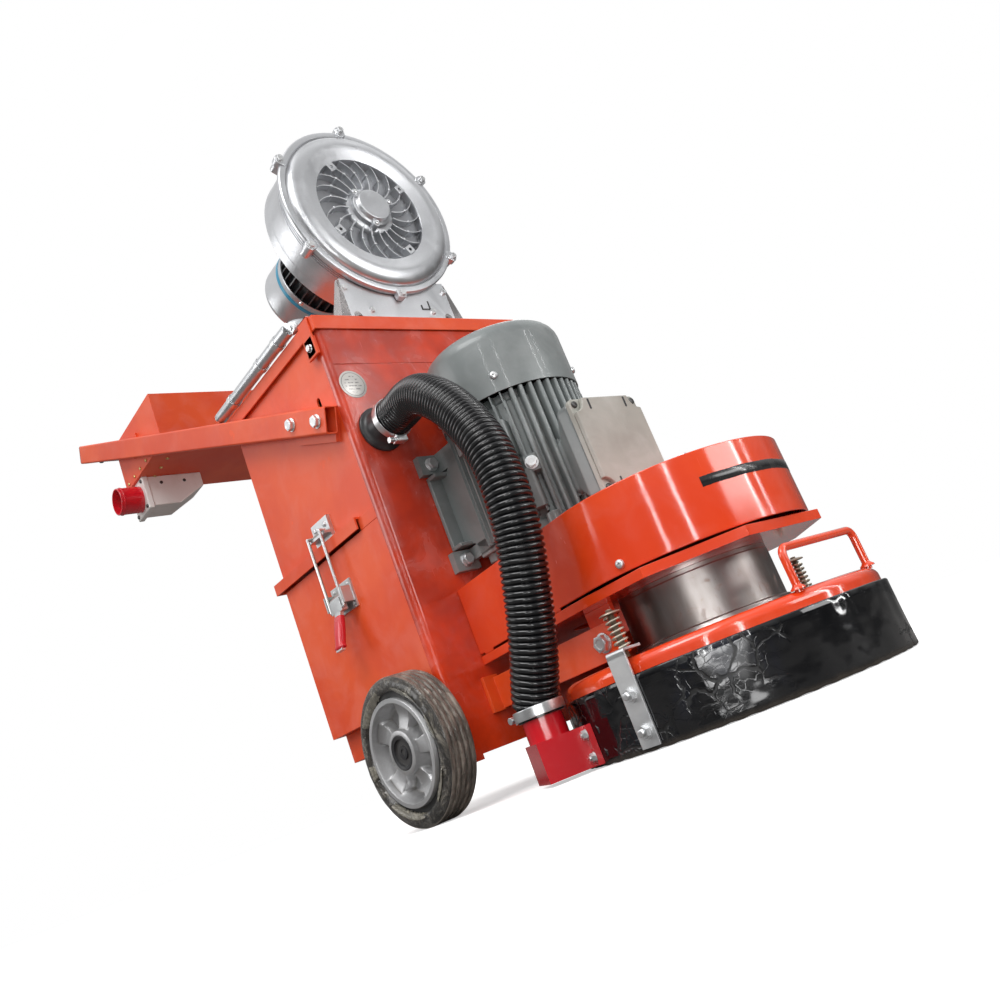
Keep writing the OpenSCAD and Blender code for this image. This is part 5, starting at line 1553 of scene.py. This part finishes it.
@dataclass
class Motor:
    """The vertical drive motor with its cast shell, fan cover and terminal box."""

    def build(self) -> None:
        """Makes the shell, shields, cover, box and fixings."""
        dressed("motor_body", "motor_shell", MOTOR_GREY, bevel=0.0011,
                                             segments=3)
        self.shields()
        self.fan_cover()
        self.pads()
        self.terminal()

    def centre(self) -> Vector:
        """The shaft's line, at floor level."""
        box = Box.of("motor_fan_cover")
        return vec(box.mid.x, box.mid.y, 0)

    def shields(self) -> None:
        """End shields with cast steps, bolt lugs and their screws."""
        box = Box.of("motor_shields")
        c, lugs, steel = self.centre(), Mesher(), Mesher()
        base = Matrix.Translation(c)
        for low, flip, r in ((box.lo.z, 1, 0.0935), (box.hi.z, -1, 0.084)):
            h = [low + flip * v for v in (0.0, 0.003, 0.012, 0.0175)]
            lugs.lathe([(0.0145, h[0]), (0.055, h[0]), (0.06, h[1] - flip * 0.001),
                        (r - 0.004, h[1] - flip * 0.002), (r, h[1] + flip * 0.001), (r, h[2]),
                        (r - 0.0015, h[2] + flip * 0.002), (r - 0.004, h[3]), (0.0145, h[3])], base, 128)
        for a in range(45, 360, 90):
            t = radians(a)
            spot = c + vec(cos(t) * 0.097, sin(t) * 0.097, box.lo.z)
            lugs.lathe([(0, 0.0005), (0.009, 0.0005), (0.0105, 0.002), (0.0105, 0.017), (0.0095, 0.018),
                        (0, 0.018)],
                       Matrix.Translation(spot), 40, closed=False)
            hex_head(steel, spot + vec(0, 0, 0.0006), -Z_AXIS, 0.003)
        lugs.piece("motor_end_shields", CHASSIS, MOTOR_GREY, ("motor_shields",), bevel=0.0008, segments=3)
        steel.piece("shield_screws", CHASSIS, ZINC, bevel=0.0003)

    def fan_cover(self) -> None:
        """Pressed cover with a soft shoulder, held by four bright screws."""
        box, c = Box.of("motor_fan_cover"), self.centre()
        dressed("motor_fan_cover", "fan_cover_shell", MOTOR_GREY, crisp=50)
        screws = Mesher()
        for a in range(-48, 312, 90):
            out = level(a)
            pan_screw(screws, c + out * (box.size.x / 2) + vec(0, 0, box.lo.z + 0.024), out, 0.0055)
        screws.piece("fan_cover_screws", CHASSIS, ZINC, bevel=0.0002)

    def pads(self) -> None:
        """Cast ribs, fin ends, foot webs, and the bosses with their bolts."""
        box, c = Box.of("motor_body"), self.centre()
        top, under = box.hi.z, Box.of("motor_fan_cover").lo.z - 0.0006
        cast, steel = Mesher(), Mesher()

        def rib(angle: float, low: float, high: float, half: float, reach: float,
                inner: float = 0.082) -> None:
            """One upright rib with rounded corners, at an angle round the shell."""
            out = level(angle)
            turn = Matrix((out, Z_AXIS.cross(out), Z_AXIS)).transposed().to_4x4()
            corners = rounded((reach - inner) / 2, half, min(half * 0.96, 0.005))
            cast.prism([(x + (reach + inner) / 2, y) for x, y in corners], high - low,
                       Matrix.Translation(c + vec(0, 0, low)) @ turn)

        for angle in range(-40, 41, 8):
            rib(angle, box.lo.z + 0.002, under, 0.0034, 0.1035)
        for angle in range(50, 312, 9):
            rib(angle, top - 0.012, under, 0.0012, 0.1035)
        bosses = ((-60, 0.0125, 0.028, 0.08, 0.1115), (60, 0.0125, 0.028, 0.08, 0.1115),
                  (-52, 0.010, 0.105, 0.16, 0.111), (-97, 0.014, 0.002, 0.04, 0.1085))
        for angle, half, low, high, reach in bosses:
            rib(angle, top - high, top - low, half, reach)
        out = level(-46)
        rib(-46, top - 0.112, top - 0.088, 0.0095, 0.1105)
        hex_head(steel, c + out * 0.1105 + vec(0, 0, top - 0.1), out, 0.0045)
        cast.piece("motor_cast_pads", CHASSIS, MOTOR_GREY, bevel=0.0014, segments=3)
        webs, mid = Mesher(), box.mid.z
        outline = [(0.0485, -0.058), (0.074, -0.058), (0.08, -0.064), (0.08, -0.084), (0.124, -0.084),
                   (0.124, 0.084), (0.08, 0.084), (0.08, 0.064), (0.074, 0.058), (0.0485, 0.058)]
        for side in Side:
            y, rim = side.value * 0.076, side.value * 0.106
            place = Matrix.Translation(on_axle(0, y if side.value < 0 else y + 0.008, mid))
            webs.prism(outline, 0.008, place @ Matrix.Rotation(pi / 2, 4, "X"))
            for z in (-1, 1):
                lo, hi = on_axle(0.0485, min(y, rim), mid), on_axle(0.072, max(y, rim), mid)
                near, far = sorted((z * 0.052, z * 0.058))
                webs.box((lo.x, lo.y, mid + near), (hi.x, hi.y, mid + far))
            webs.box(on_axle(0.0485, min(y, rim), mid - 0.056), on_axle(0.0555, max(y, rim), mid + 0.056))
        webs.piece("motor_foot_webs", CHASSIS, MOTOR_GREY, bevel=0.0016, segments=3)
        steel.piece("motor_lifting_bolts", CHASSIS, ZINC, bevel=0.0003)

    def terminal(self) -> None:
        """Terminal box tapering towards the motor, and its screwed cover without lettering."""
        box, cover = Box.of("terminal_box"), Box.of("terminal_cover")
        mid = vec(0, 0, cover.mid.z)
        rows = []
        half_y, half_z, deep = cover.size.y / 2 - 0.001, cover.size.z / 2 - 0.001, cover.lo.x - box.lo.x
        for along, share in ((-0.05, 0.6), (0.12, 0.62), (0.66, 0.985), (0.992, 1.0)):
            x, wide, high = box.lo.x + along * deep, half_y * share, half_z * share
            rows.append([vec(x, y, z) + mid for y, z in rounded(wide, high, 0.009, 6)])
        Mesher().skin(rows).piece("terminal_body", CHASSIS, MOTOR_GREY, ("terminal_box",), bevel=0.0025,
                                  segments=3, crisp=22)
        self.cover(cover)
        glands = Mesher()
        for z in (cover.mid.z - 0.025, cover.mid.z + 0.02):
            frame = facing(vec(box.mid.x + 0.006, box.hi.y - 0.0035, z), Y_AXIS)
            glands.prism(circle(0.012, 6), 0.008, frame)
            glands.lathe([(0, 0), (0.0095, 0), (0.0095, 0.012), (0.008, 0.016), (0.0045, 0.017), (0, 0.017)],
                         frame, 32, closed=False)
        glands.piece("terminal_glands", CHASSIS, BLACK_PLASTIC, bevel=0.0006)

    def cover(self, box: Box) -> None:
        """Cover plate with notched corners, a raised field and two dark slots."""
        plate = Mesher()
        half_y, half_z, notch = box.size.y / 2, box.size.z / 2, 0.019
        frame = facing(vec(box.lo.x, box.mid.y, box.mid.z), X_AXIS)
        plate.prism(rounded(half_y, half_z, 0.008, 6), 0.0075, frame)
        outline = self._field(half_y - 0.0012, half_z - 0.0012, notch)
        plate.prism(outline, box.size.x - 0.0075, frame @ shift(0, 0, 0.0075))
        plate.piece("terminal_cover_plate", CHASSIS, COVER_GREY, ("terminal_cover",), bevel=0.0016,
                    segments=3)
        screws, slots = Mesher(), Mesher()
        for sy in (-1, 1):
            for sz in (-1, 1):
                spot = vec(box.lo.x + 0.0075, sy * (half_y - 0.0085), box.mid.z + sz * (half_z - 0.0085))
                pan_screw(screws, spot, X_AXIS, 0.0048)
                # Thin black patches stand for the cover's slots: painted shade where the openings would look
                # dark.
                slots.prism(rounded(0.0016, 0.0075, 0.0014), 0.0012, facing(
                    vec(box.hi.x - 0.0008, sy * (half_y - 0.030), box.mid.z + sz * (half_z - 0.011)), X_AXIS))
        screws.piece("terminal_screws", CHASSIS, DARK_METAL, bevel=0.0002)
        slots.piece("terminal_slots", CHASSIS, BLACK_PLASTIC)

    @staticmethod
    def _field(half_y: float, half_z: float, notch: float) -> list[tuple[float, float]]:
        """A rectangle's outline with a round bite out of each corner."""
        points = []
        for cy, cz, start in ((1, 1, 0.75), (-1, 1, 0.0), (-1, -1, 0.25), (1, -1, 0.5)):
            for i in range(9):
                a = TURN * (start - 0.25 * i / 8)
                points.append((cy * half_y + notch * cos(a), cz * half_z + notch * sin(a)))
        return points


# ---- belt drive and grinding head ------------------------------------------


@dataclass
class DriveGuard:
    """Belt guard, its plate, tape and screws, with the arms that carry the head."""

    def build(self) -> None:
        """Dresses guard and plate; adds the tape, screws and arms."""
        for node, name in (("belt_guard", "guard_shell"), ("guard_plate", "guard_base")):
            dressed(node, name, GLOSS_ORANGE, bevel=0.0022, segments=4)
        dressed("pivot_lugs", "pivot_arms", ORANGE, bevel=0.0015, segments=3)
        self.tape()
        self.screws()

    def tape(self) -> None:
        """Black tape laid round the guard's front curve."""
        guard, x = Box.of("belt_guard"), Box.of("spindle").mid.x
        r = guard.size.y / 2 + 0.00025
        high, low = guard.lo.z + 0.068, guard.lo.z + 0.056
        rng, rows = random.Random(3), []
        for i in range(121):
            a = radians(-34 + 68 * i / 120)
            lift = 0.0002 * sin(i * 0.21) + 0.0003 * rng.random()
            c, s = cos(a), sin(a)
            rows.append([vec(x + rr * c, rr * s, z + lift) for rr, z in
                         ((r - 0.0003, low), (r, low + 0.0003), (r, high - 0.0003), (r - 0.0003, high))])
        Mesher().skin(rows, closed=False, capped=False).piece("guard_tape", CHASSIS, TAPE, crisp=70)

    def screws(self) -> None:
        """Fixing screws low on the guard's skirt and through its top."""
        guard, x = Box.of("belt_guard"), Box.of("spindle").mid.x
        r, steel = guard.size.y / 2, Mesher()
        for a in (-77, 77):
            out = level(a)
            pan_screw(steel, vec(x, 0, guard.lo.z + 0.014) + out * r, out, 0.0055)
        for px, py in ((guard.lo.x + 0.025, 0.09), (guard.lo.x + 0.025, -0.09), (x + 0.11, 0.07),
                       (x + 0.11, -0.07)):
            hex_head(steel, vec(px, py, guard.hi.z), Z_AXIS, 0.004)
        steel.piece("guard_screws", CHASSIS, ZINC, bevel=0.0003)


@dataclass
class Head:
    """Grinding head: drum, cover, disc, lifting loop and the floating skirt."""

    bracket_angle: float = 83.0
    port_angle: float = -118.0

    def axis(self) -> Matrix:
        """The spindle's line, at floor level."""
        box = Box.of("spindle")
        return shift(box.mid.x, box.mid.y, 0)

    def at(self, angle: float) -> Matrix:
        """The spindle's frame turned so that X points out at an angle."""
        return self.axis() @ spin(radians(angle))

    def build(self) -> None:
        """Makes every part of the head."""
        self.drum()
        self.cover()
        self.disc()
        self.skirt()
        self.port()
        for side in Side:
            self.bracket(side)

    def drum(self) -> None:
        """Turned drum with stepped rims, under the guard."""
        box = Box.of("spindle_drum")
        r, low, high = box.size.x / 2, box.lo.z, box.hi.z
        profile = [(0.03, low), (r + 0.004, low), (r + 0.004, low + 0.006), (r + 0.003, low + 0.007),
                   (r, low + 0.0075), (r, high - 0.006), (r - 0.0006, high - 0.005), (r - 0.0006, high),
                   (0.03, high)]
        Mesher().lathe(profile, self.axis(), 192).piece("drum_shell", CHASSIS, DRUM_STEEL, ("spindle_drum",),
                                                        bevel=0.0004, crisp=30)

    def cover(self) -> None:
        """Spun cover with a rolled rim and a raised top land, and its lifting loop."""
        box = Box.of("head_cover")
        r, low, high = box.size.x / 2, box.lo.z, box.hi.z
        profile = [(0.05, high), (r - 0.07, high), (r - 0.062, high - 0.0012), (r - 0.018, high - 0.0016)]
        profile += [(r - 0.012 + 0.0118 * sin(a), high - 0.0136 + 0.012 * cos(a))
                    for a in quarter(8)]
        profile += [(r, low + 0.006), (r + 0.0012, low + 0.004), (r + 0.0012, low + 0.001), (r, low),
                    (r - 0.006, low), (r - 0.006, high - 0.012), (r - 0.012, high - 0.008),
                    (0.05, high - 0.008)]
        Mesher().lathe(profile, self.axis(), 192).piece("head_shell", CHASSIS, GLOSS_ORANGE, ("head_cover",),
                                                        crisp=45)
        loop = Box.of("lifting_loop")
        x, bar = loop.mid.x, loop.size.x / 2
        bend = 0.010
        path = [vec(x, loop.lo.y + bar, loop.lo.z - 0.004), vec(x, loop.lo.y + bar, loop.hi.z - bar - bend)]
        for i in range(1, 9):
            a = pi / 2 * i / 8
            path.append(vec(x, loop.lo.y + bar + bend * (1 - cos(a)), loop.hi.z - bar - bend * (1 - sin(a))))
        path += [vec(p.x, -p.y, p.z) for p in path[::-1]]
        Mesher().sweep(path, bar, 28, up=X_AXIS).piece("lifting_rod", CHASSIS, GLOSS_ORANGE,
                                                       ("lifting_loop",),
                                                      crisp=70)
        welds = Mesher()
        for y in (loop.lo.y + bar, loop.hi.y - bar):
            welds.lathe([(bar, 0.0045), (bar + 0.001, 0.003), (bar + 0.0035, 0.0008), (bar + 0.004, -0.001),
                         (bar - 0.001, -0.001)], shift(x, y, loop.lo.z), 32,
                        shape=lambda a, rr, h: (rr + 0.00015 * sin(7 * a), h))
        welds.piece("loop_welds", CHASSIS, GLOSS_ORANGE, crisp=70)

    def disc(self) -> None:
        """Disc and its bonded diamond segments."""
        dressed("grinding_disc", "disc_plate", PLATE_STEEL, "spindle", bevel=0.0008)
        dressed("diamond_segments", "disc_segments", BOND, "spindle", bevel=0.0016, segments=3)

    def skirt(self) -> None:
        """Rubber skirt band, slightly wavy, with a worn lower lip and a top bead."""
        box = Box.of("skirt")
        r, low, high = box.size.y / 2, box.lo.z, box.hi.z
        inner = r - 0.005

        def wavy(a: float, rr: float, h: float) -> tuple[float, float]:
            """Gentle buckles that grow towards the free upper edge."""
            t = (h - low) / (high - low)
            wave = 0.0007 * sin(9 * a + 0.6) + 0.0004 * sin(23 * a) + 0.0003 * sin(41 * a + 2)
            nick = 0.0005 * sin(57 * a) * sin(8 * a) if h < low + 0.002 else 0
            return rr + wave * (0.3 + 0.7 * t) - 0.0004, h + max(nick, -0.0004)

        profile = [(inner, low), (inner, high - 0.001), (inner + 0.0008, high), (r - 0.0012, high),
                   (r, high - 0.0015)]
        profile += [(r - 0.0003 * sin(pi * i / 10), high - (high - low) * i / 11) for i in range(1, 11)]
        profile += [(r, low + 0.0012), (r - 0.001, low)]
        Mesher().lathe(profile, self.axis(), 288, shape=wavy).piece("skirt_band", "skirt", SKIRT_RUBBER,
                                                                    ("skirt",), crisp=60)

    def bracket(self, side: Side) -> None:
        """Galvanised angle on the skirt with studs, and the guide rod with its cup washer."""
        word, angle = side.word, side.value * self.bracket_angle
        frame = self.at(angle)
        skirt, brackets = Box.of("skirt"), Box.of("skirt_brackets")
        r, top = skirt.size.y / 2, brackets.hi.z
        sheet, half = 0.003, 0.0125
        angle_iron = Mesher()
        angle_iron.prism([(r + sheet, half), (r, half), (r, -half), (r + sheet, -half)], top - 0.005 - 0.003,
                         frame @ shift(0, 0, 0.005))
        bend = [(r - 0.0305, top - sheet), (r + 0.0, top - sheet), (r, top - 0.008), (r + sheet, top - 0.008),
                (r + sheet, top - 0.003), (r + 0.0022, top - 0.0008), (r + 0.0002, top), (r - 0.0305, top)]
        turned = frame @ Matrix.Rotation(pi / 2, 4, "X") @ shift(0, 0, -half)
        angle_iron.prism(bend, 2 * half, turned)
        stands = ("skirt_brackets",) if side is Side.LEFT else ()
        angle_iron.piece(f"skirt_angle_{word}", "skirt", GALVANISED, stands, bevel=0.0004)
        studs = Mesher()
        out = frame.to_3x3() @ X_AXIS
        for z in (0.022, 0.062):
            nut_on_stud(studs, frame @ vec(r + sheet, 0, z), out, 0.004, 0.0115)
        studs.piece(f"skirt_studs_{word}", "skirt", ZINC, crisp=35)
        rods, base = Box.of("skirt_rods"), Box.of("skirt_rods").lo.z
        post = frame @ shift(r - 0.017, 0, base)
        thread, pitch = [(0, 0)], 0.00125
        turns = int((rods.size.z + 0.004) / pitch)
        for i in range(turns):
            thread += [(0.004, i * pitch), (0.0034, (i + 0.5) * pitch)]
        thread.append((0, turns * pitch))
        rod = Mesher().lathe(thread, post, 24, closed=False)
        high = rods.size.z
        rod.lathe([(0, high - 0.004), (0.0125, high - 0.0035), (0.013, high - 0.003), (0.0122, high - 0.0018),
                   (0.008, high - 0.0006), (0.0045, high), (0, high)], post, 48, closed=False)
        stands = ("skirt_rods",) if side is Side.LEFT else ()
        rod.piece(f"guide_rod_{word}", CHASSIS, THREADED, stands, crisp=35)

    def port(self) -> None:
        """Crimson dust port with a flange, screws and a spout."""
        dressed("dust_port", "port_body", RED, "skirt", bevel=0.002, segments=4)
        frame, skirt = self.at(self.port_angle), Box.of("skirt")
        steel = Mesher()
        out = frame.to_3x3() @ X_AXIS
        for y, z in ((0.037, 0.014), (0.037, 0.04)):
            nut_on_stud(steel, frame @ vec(skirt.size.y / 2 + 0.003, y, z), out, 0.003, 0.008)
        steel.piece("port_studs", "skirt", ZINC, crisp=35)


# ---- blower ----------------------------------------------------------------


@dataclass
class Blower:
    """Side-channel suction blower on the lid, with its motor."""

    ribs: int = 20
    ears: int = 6

    def frame(self) -> Matrix:
        """On the shaft's line where the cover meets the housing, Z towards the front."""
        housing = Box.of("blower_impeller")
        return facing(vec(Box.of("blower_cover").lo.x, 0, housing.mid.z), X_AXIS)

    def build(self) -> None:
        """Makes housing, cover, feet and motor."""
        dressed("blower_housing", "blower_casting", BLOWER_SILVER, bevel=0.0014, segments=3)
        self.cover()
        self.volute()
        self.feet()
        self.motor()

    def cover(self) -> None:
        """Cover: rolled ring, dished land, ribbed recess over a floor darkened as painted shade, and capped
        hub.
        """
        frame = self.frame()
        ring = [(0.0972, 0.0005), (0.159, 0), (0.1615, 0.001), (0.162, 0.003), (0.162, 0.008),
                (0.1605, 0.0098), (0.158, 0.0102), (0.152, 0.0102), (0.1505, 0.0088), (0.1495, 0.0082),
                (0.1485, 0.0092)]
        ring += [(0.126 + 0.022 * cos(a), 0.0095 + 0.0125 * sin(a))
                 for a in (radians(6 + 6 * i) for i in range(16))]
        ring += [(0.117, 0.0204), (0.111, 0.0184), (0.106, 0.0169), (0.1025, 0.0162), (0.1002, 0.0155),
                 (0.0994, 0.0138), (0.099, 0.0014), (0.0972, 0.0012)]
        Mesher().lathe(ring, frame, 240).piece("blower_cover_casting", CHASSIS, BLOWER_SILVER,
                                               ("blower_cover",), crisp=40)
        # The recess floor takes the darker casting: painted shade in the recess.
        floor = [(0, 0.001), (0.0985, 0.001), (0.0985, 0.0016), (0.05, 0.0018), (0, 0.0018)]
        Mesher().lathe(floor, frame, 120, closed=False).piece("recess_floor", CHASSIS, RECESS_SHADE_CAST, crisp=40)
        hub = [(0, 0.0012), (0.0455, 0.0012), (0.045, 0.0075), (0.0435, 0.0092), (0.0385, 0.0098),
               (0.0362, 0.0108), (0.0355, 0.0185), (0.034, 0.0198), (0.0315, 0.0202), (0.0306, 0.0212),
               (0.030, 0.0265), (0.0288, 0.028), (0.0262, 0.0285), (0.022, 0.0279), (0.010, 0.0276),
               (0, 0.0276)]
        Mesher().lathe(hub, frame, 120, closed=False).piece("blower_hub", CHASSIS, BLOWER_SILVER, crisp=40)
        self.recess(frame)
        self.ears_round(frame)

    def recess(self, frame: Matrix) -> None:
        """Curved ribs with mid bosses, square lugs with holes, and hub lugs."""
        ribs, floor, height = Mesher(), 0.0012, 0.013

        def curve(start: float, along: float) -> tuple[float, float]:
            """Radius and angle of a rib's middle line, from hub (0) to rim (1)."""
            return 0.043 + 0.0555 * along, start + 0.34 * along * along - 0.06 * along

        for i in range(self.ribs):
            base, left, right = TURN * i / self.ribs, [], []
            for k in range(15):
                t = k / 14
                r, a = curve(base, t)
                half = (0.0009 + 0.0003 * (1 - t)) / r
                left.append((r * cos(a + half), r * sin(a + half)))
                right.append((r * cos(a - half), r * sin(a - half)))
            ribs.prism(left + right[::-1], height, frame @ shift(0, 0, floor))
            r, a = curve(base, 0.55)
            ribs.lathe([(0, 0.0145), (0.0016, 0.0145), (0.0024, 0.0137), (0.0027, 0.0), (0, 0)],
                       frame @ shift(r * cos(a), r * sin(a), floor), 20, closed=False)
        ribs.piece("recess_ribs", CHASSIS, BLOWER_SILVER, bevel=0.0003)
        lugs, steel = Mesher(), Mesher()
        for i in range(4):
            spot = frame @ spin(TURN * (i + 0.36) / 4) @ shift(0.0925, 0, 0.0012)
            lugs.prism(rounded(0.0075, 0.0078, 0.0015), 0.0158, spot, circle(0.003, 24))
        for i in range(3):
            spot = frame @ spin(TURN * (i + 0.15) / 3)
            place = spot @ shift(0.0345, 0, 0.0095)
            lugs.prism(rounded(0.0085, 0.0062, 0.0055), 0.0148, place)
            pan_screw(steel, spot @ vec(0.0365, 0, 0.0243), X_AXIS, 0.0042)
        lugs.piece("recess_lugs", CHASSIS, BLOWER_SILVER, bevel=0.0007)
        steel.piece("hub_screws", CHASSIS, ZINC, bevel=0.0002)

    def ears_round(self, frame: Matrix) -> None:
        """Outer ears with socket screws, and their matching housing lugs."""
        ears, steel = Mesher(), Mesher()
        for i in range(self.ears):
            a = TURN * (i + 0.5) / self.ears
            spot = frame @ spin(a)
            ears.prism([(x + 0.163, y) for x, y in rounded(0.0105, 0.009, 0.0075)], 0.012, spot)
            ears.prism([(x + 0.160, y) for x, y in rounded(0.0105, 0.0078, 0.006)], 0.014,
                       spot @ shift(0, 0, -0.0145))
            seat = spot @ vec(0.1655, 0, 0.012)
            hex_head(steel, seat, X_AXIS, 0.0032)
        ears.piece("cover_ears", CHASSIS, BLOWER_SILVER, bevel=0.0012, segments=3)
        steel.piece("cover_screws", CHASSIS, ZINC, bevel=0.0002)

    def volute(self) -> None:
        """Smooth rolled channel behind the cover, with fine cooling rings."""
        frame = self.frame()
        profile = [(0.13, 0), (0.1502, 0)]
        for i in range(4):
            h = -0.006 - i * 0.004
            profile += [(0.1502, h), (0.1518, h - 0.0006), (0.1518, h - 0.0016), (0.1502, h - 0.0022)]
        profile += [(0.1502, -0.03), (0.1502, -0.052)]
        profile += [(0.1302 + 0.02 * cos(a), -0.058 - 0.02 * sin(a))
                    for a in quarter(10)]
        profile += [(0.075, -0.0785), (0.075, -0.07), (0.12, -0.07)]
        Mesher().lathe(profile, frame, 200).piece("blower_volute", CHASSIS, BLOWER_SILVER, crisp=40)

    def feet(self) -> None:
        """Rubber mat, hex bolts, foot plate details and gussets under the blower."""
        housing, lid = Box.of("blower_housing"), Box.of("lid")
        front = Box.of("blower_cover").lo.x - 0.0015
        mat, steel, plates, holes = Mesher(), Mesher(), Mesher(), Mesher()
        for s in (-1, 1):
            for x in (housing.lo.x + 0.012, front - 0.0125):
                hex_head(steel, vec(x, s * 0.117, lid.hi.z + 0.003), Z_AXIS, 0.004)
            for y, z in ((0.1, 0.074), (0.062, 0.034)):
                hex_head(steel, vec(front, s * y, lid.hi.z + z), X_AXIS, 0.0028)
            # Thin black discs here and black slots below stand for the foot plate's holes: painted shade
            # where the holes would look dark.
            for y, z in ((0.088, 0.02), (0.03, 0.017)):
                holes.lathe([(0, 0.0007), (0.0048, 0.0007), (0.0048, 0), (0, 0)],
                            facing(vec(front, s * y, lid.hi.z + z), X_AXIS), 32, closed=False)
            gusset = [(0, 0), (-0.062, 0), (-0.062, 0.012), (-0.004, 0.088), (0, 0.088)]
            place = vec(front - 0.0025, s * 0.1058, lid.hi.z + 0.003)
            plates.prism(gusset, 0.0026, Matrix.Translation(place) @ Matrix.Rotation(pi / 2, 4, "X"))
        for y, z, wide, high in ((0.058, 0.046, 0.0016, 0.009), (0.05, 0.0385, 0.0095, 0.0016),
                                 (0.042, 0.042, 0.0016, 0.005)):
            holes.prism(rounded(wide, high, 0.0008), 0.0007, facing(vec(front, y, lid.hi.z + z), X_AXIS))
        mat.box((housing.lo.x + 0.003, -0.124, lid.hi.z - 0.0002), (front - 0.0015, 0.124, lid.hi.z + 0.0012))
        mat.piece("blower_mat", CHASSIS, BELT_BLACK)
        steel.piece("blower_foot_bolts", CHASSIS, ZINC, bevel=0.0002)
        plates.piece("blower_gussets", CHASSIS, BRIGHT_PLATE, bevel=0.0004)
        outline = [(-0.1225, 0.003), (0.1225, 0.003), (0.1225, 0.0225), (0.1065, 0.088), (-0.1065, 0.088),
                   (-0.1225, 0.0225)]
        sheet = Mesher().prism(outline, 0.0006, facing(vec(front - 0.0002, 0, lid.hi.z), X_AXIS))
        sheet.piece("blower_foot_plate", CHASSIS, BRIGHT_PLATE)
        holes.piece("blower_plate_holes", CHASSIS, BELT_BLACK)

    def motor(self) -> None:
        """Dark finned motor with a bright fan cover and a plain blue band."""
        dressed("blower_motor", "blower_motor_shell", DARK_MOTOR, bevel=0.0006)
        cover = Box.of("blower_fan_cover")
        frame = facing(vec(cover.hi.x, cover.mid.y, cover.mid.z), -X_AXIS)
        r, long = cover.size.z / 2, cover.size.x
        profile = [(r - 0.0015, 0), (r + 0.0004, 0.0), (r + 0.0006, 0.002), (r, 0.004), (r, long - 0.014)]
        profile += [(r - 0.012 + 0.012 * cos(a), long - 0.013 + 0.012 * sin(a))
                    for a in quarter(8)]
        profile += [(0.02, long - 0.001), (0.02, long - 0.003), (r - 0.013, long - 0.003),
                    (r - 0.0018, long - 0.014)]
        Mesher().lathe(profile, frame, 144).piece("blower_fan_shell", CHASSIS, BLOWER_SILVER,
                                                  ("blower_fan_cover",), crisp=45)
        band = [(r + 0.0001, 0.012), (r + 0.0003, 0.0121), (r + 0.0003, 0.0199), (r + 0.0001, 0.02)]
        Mesher().lathe(band, frame, 144, closed=False).piece("fan_cover_band", CHASSIS, BLUE_BAND, crisp=60)
        screws = Mesher()
        for i in range(4):
            a = TURN * (i + 0.5) / 4
            spot = frame @ spin(a)
            out = spot.to_3x3() @ X_AXIS
            pan_screw(screws, spot @ vec(r + 0.0003, 0, 0.006), out, 0.004)
        screws.piece("blower_fan_screws", CHASSIS, ZINC, bevel=0.0002)
        box = Mesher()
        box.prism(rounded(0.032, 0.026, 0.004), 0.03,
                  Matrix.Translation((Box.of("blower_motor").mid.x + 0.02, 0,
                                                                     Box.of("blower_motor").hi.z - 0.008)))
        box.piece("blower_terminal_box", CHASSIS, DARK_MOTOR, bevel=0.002, segments=3)


# ---- pieces kept as the CAD has them ----------------------------------------


def dress(finish: Finish, *nodes: str) -> None:
    """Gives CAD nodes that keep their own shape a finish.

    Args:
        finish: the surface finish.
        nodes: CAD nodes that take it.
    """
    for node in nodes:
        for slot in bpy.data.objects[node].material_slots:
            slot.material = finish.material()
        LOG.info("%s: %s", node, finish.name)


def inner_pieces() -> None:
    """Finishes of the parts inside the covers."""
    dress(PLATE_STEEL, "axle", "motor_rotor", "spindle", "blower_impeller")
    dress(BLACK_PLASTIC, "motor_fan")
    dress(IRON, "drive_pulley", "driven_pulley")
    dress(BELT_BLACK, "belts")
    dress(ZINC, "spindle_bearings")
    dress(GALVANISED, "latch_keepers", "latch_bases")
    dress(SPRING_STEEL, "skirt_springs")


def main() -> None:
    """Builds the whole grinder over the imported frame."""
    logging.basicConfig(level=logging.INFO, format="%(message)s")
    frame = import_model()
    Studio().build()
    Hose().build()
    Cabinet().build()
    for side in Side:
        Wheel(side).build()
        Latch(side).build()
    Handle().build()
    ControlBox().build()
    Motor().build()
    DriveGuard().build()
    Head().build()
    Blower().build()
    inner_pieces()


if __name__ == "__main__":
    main()
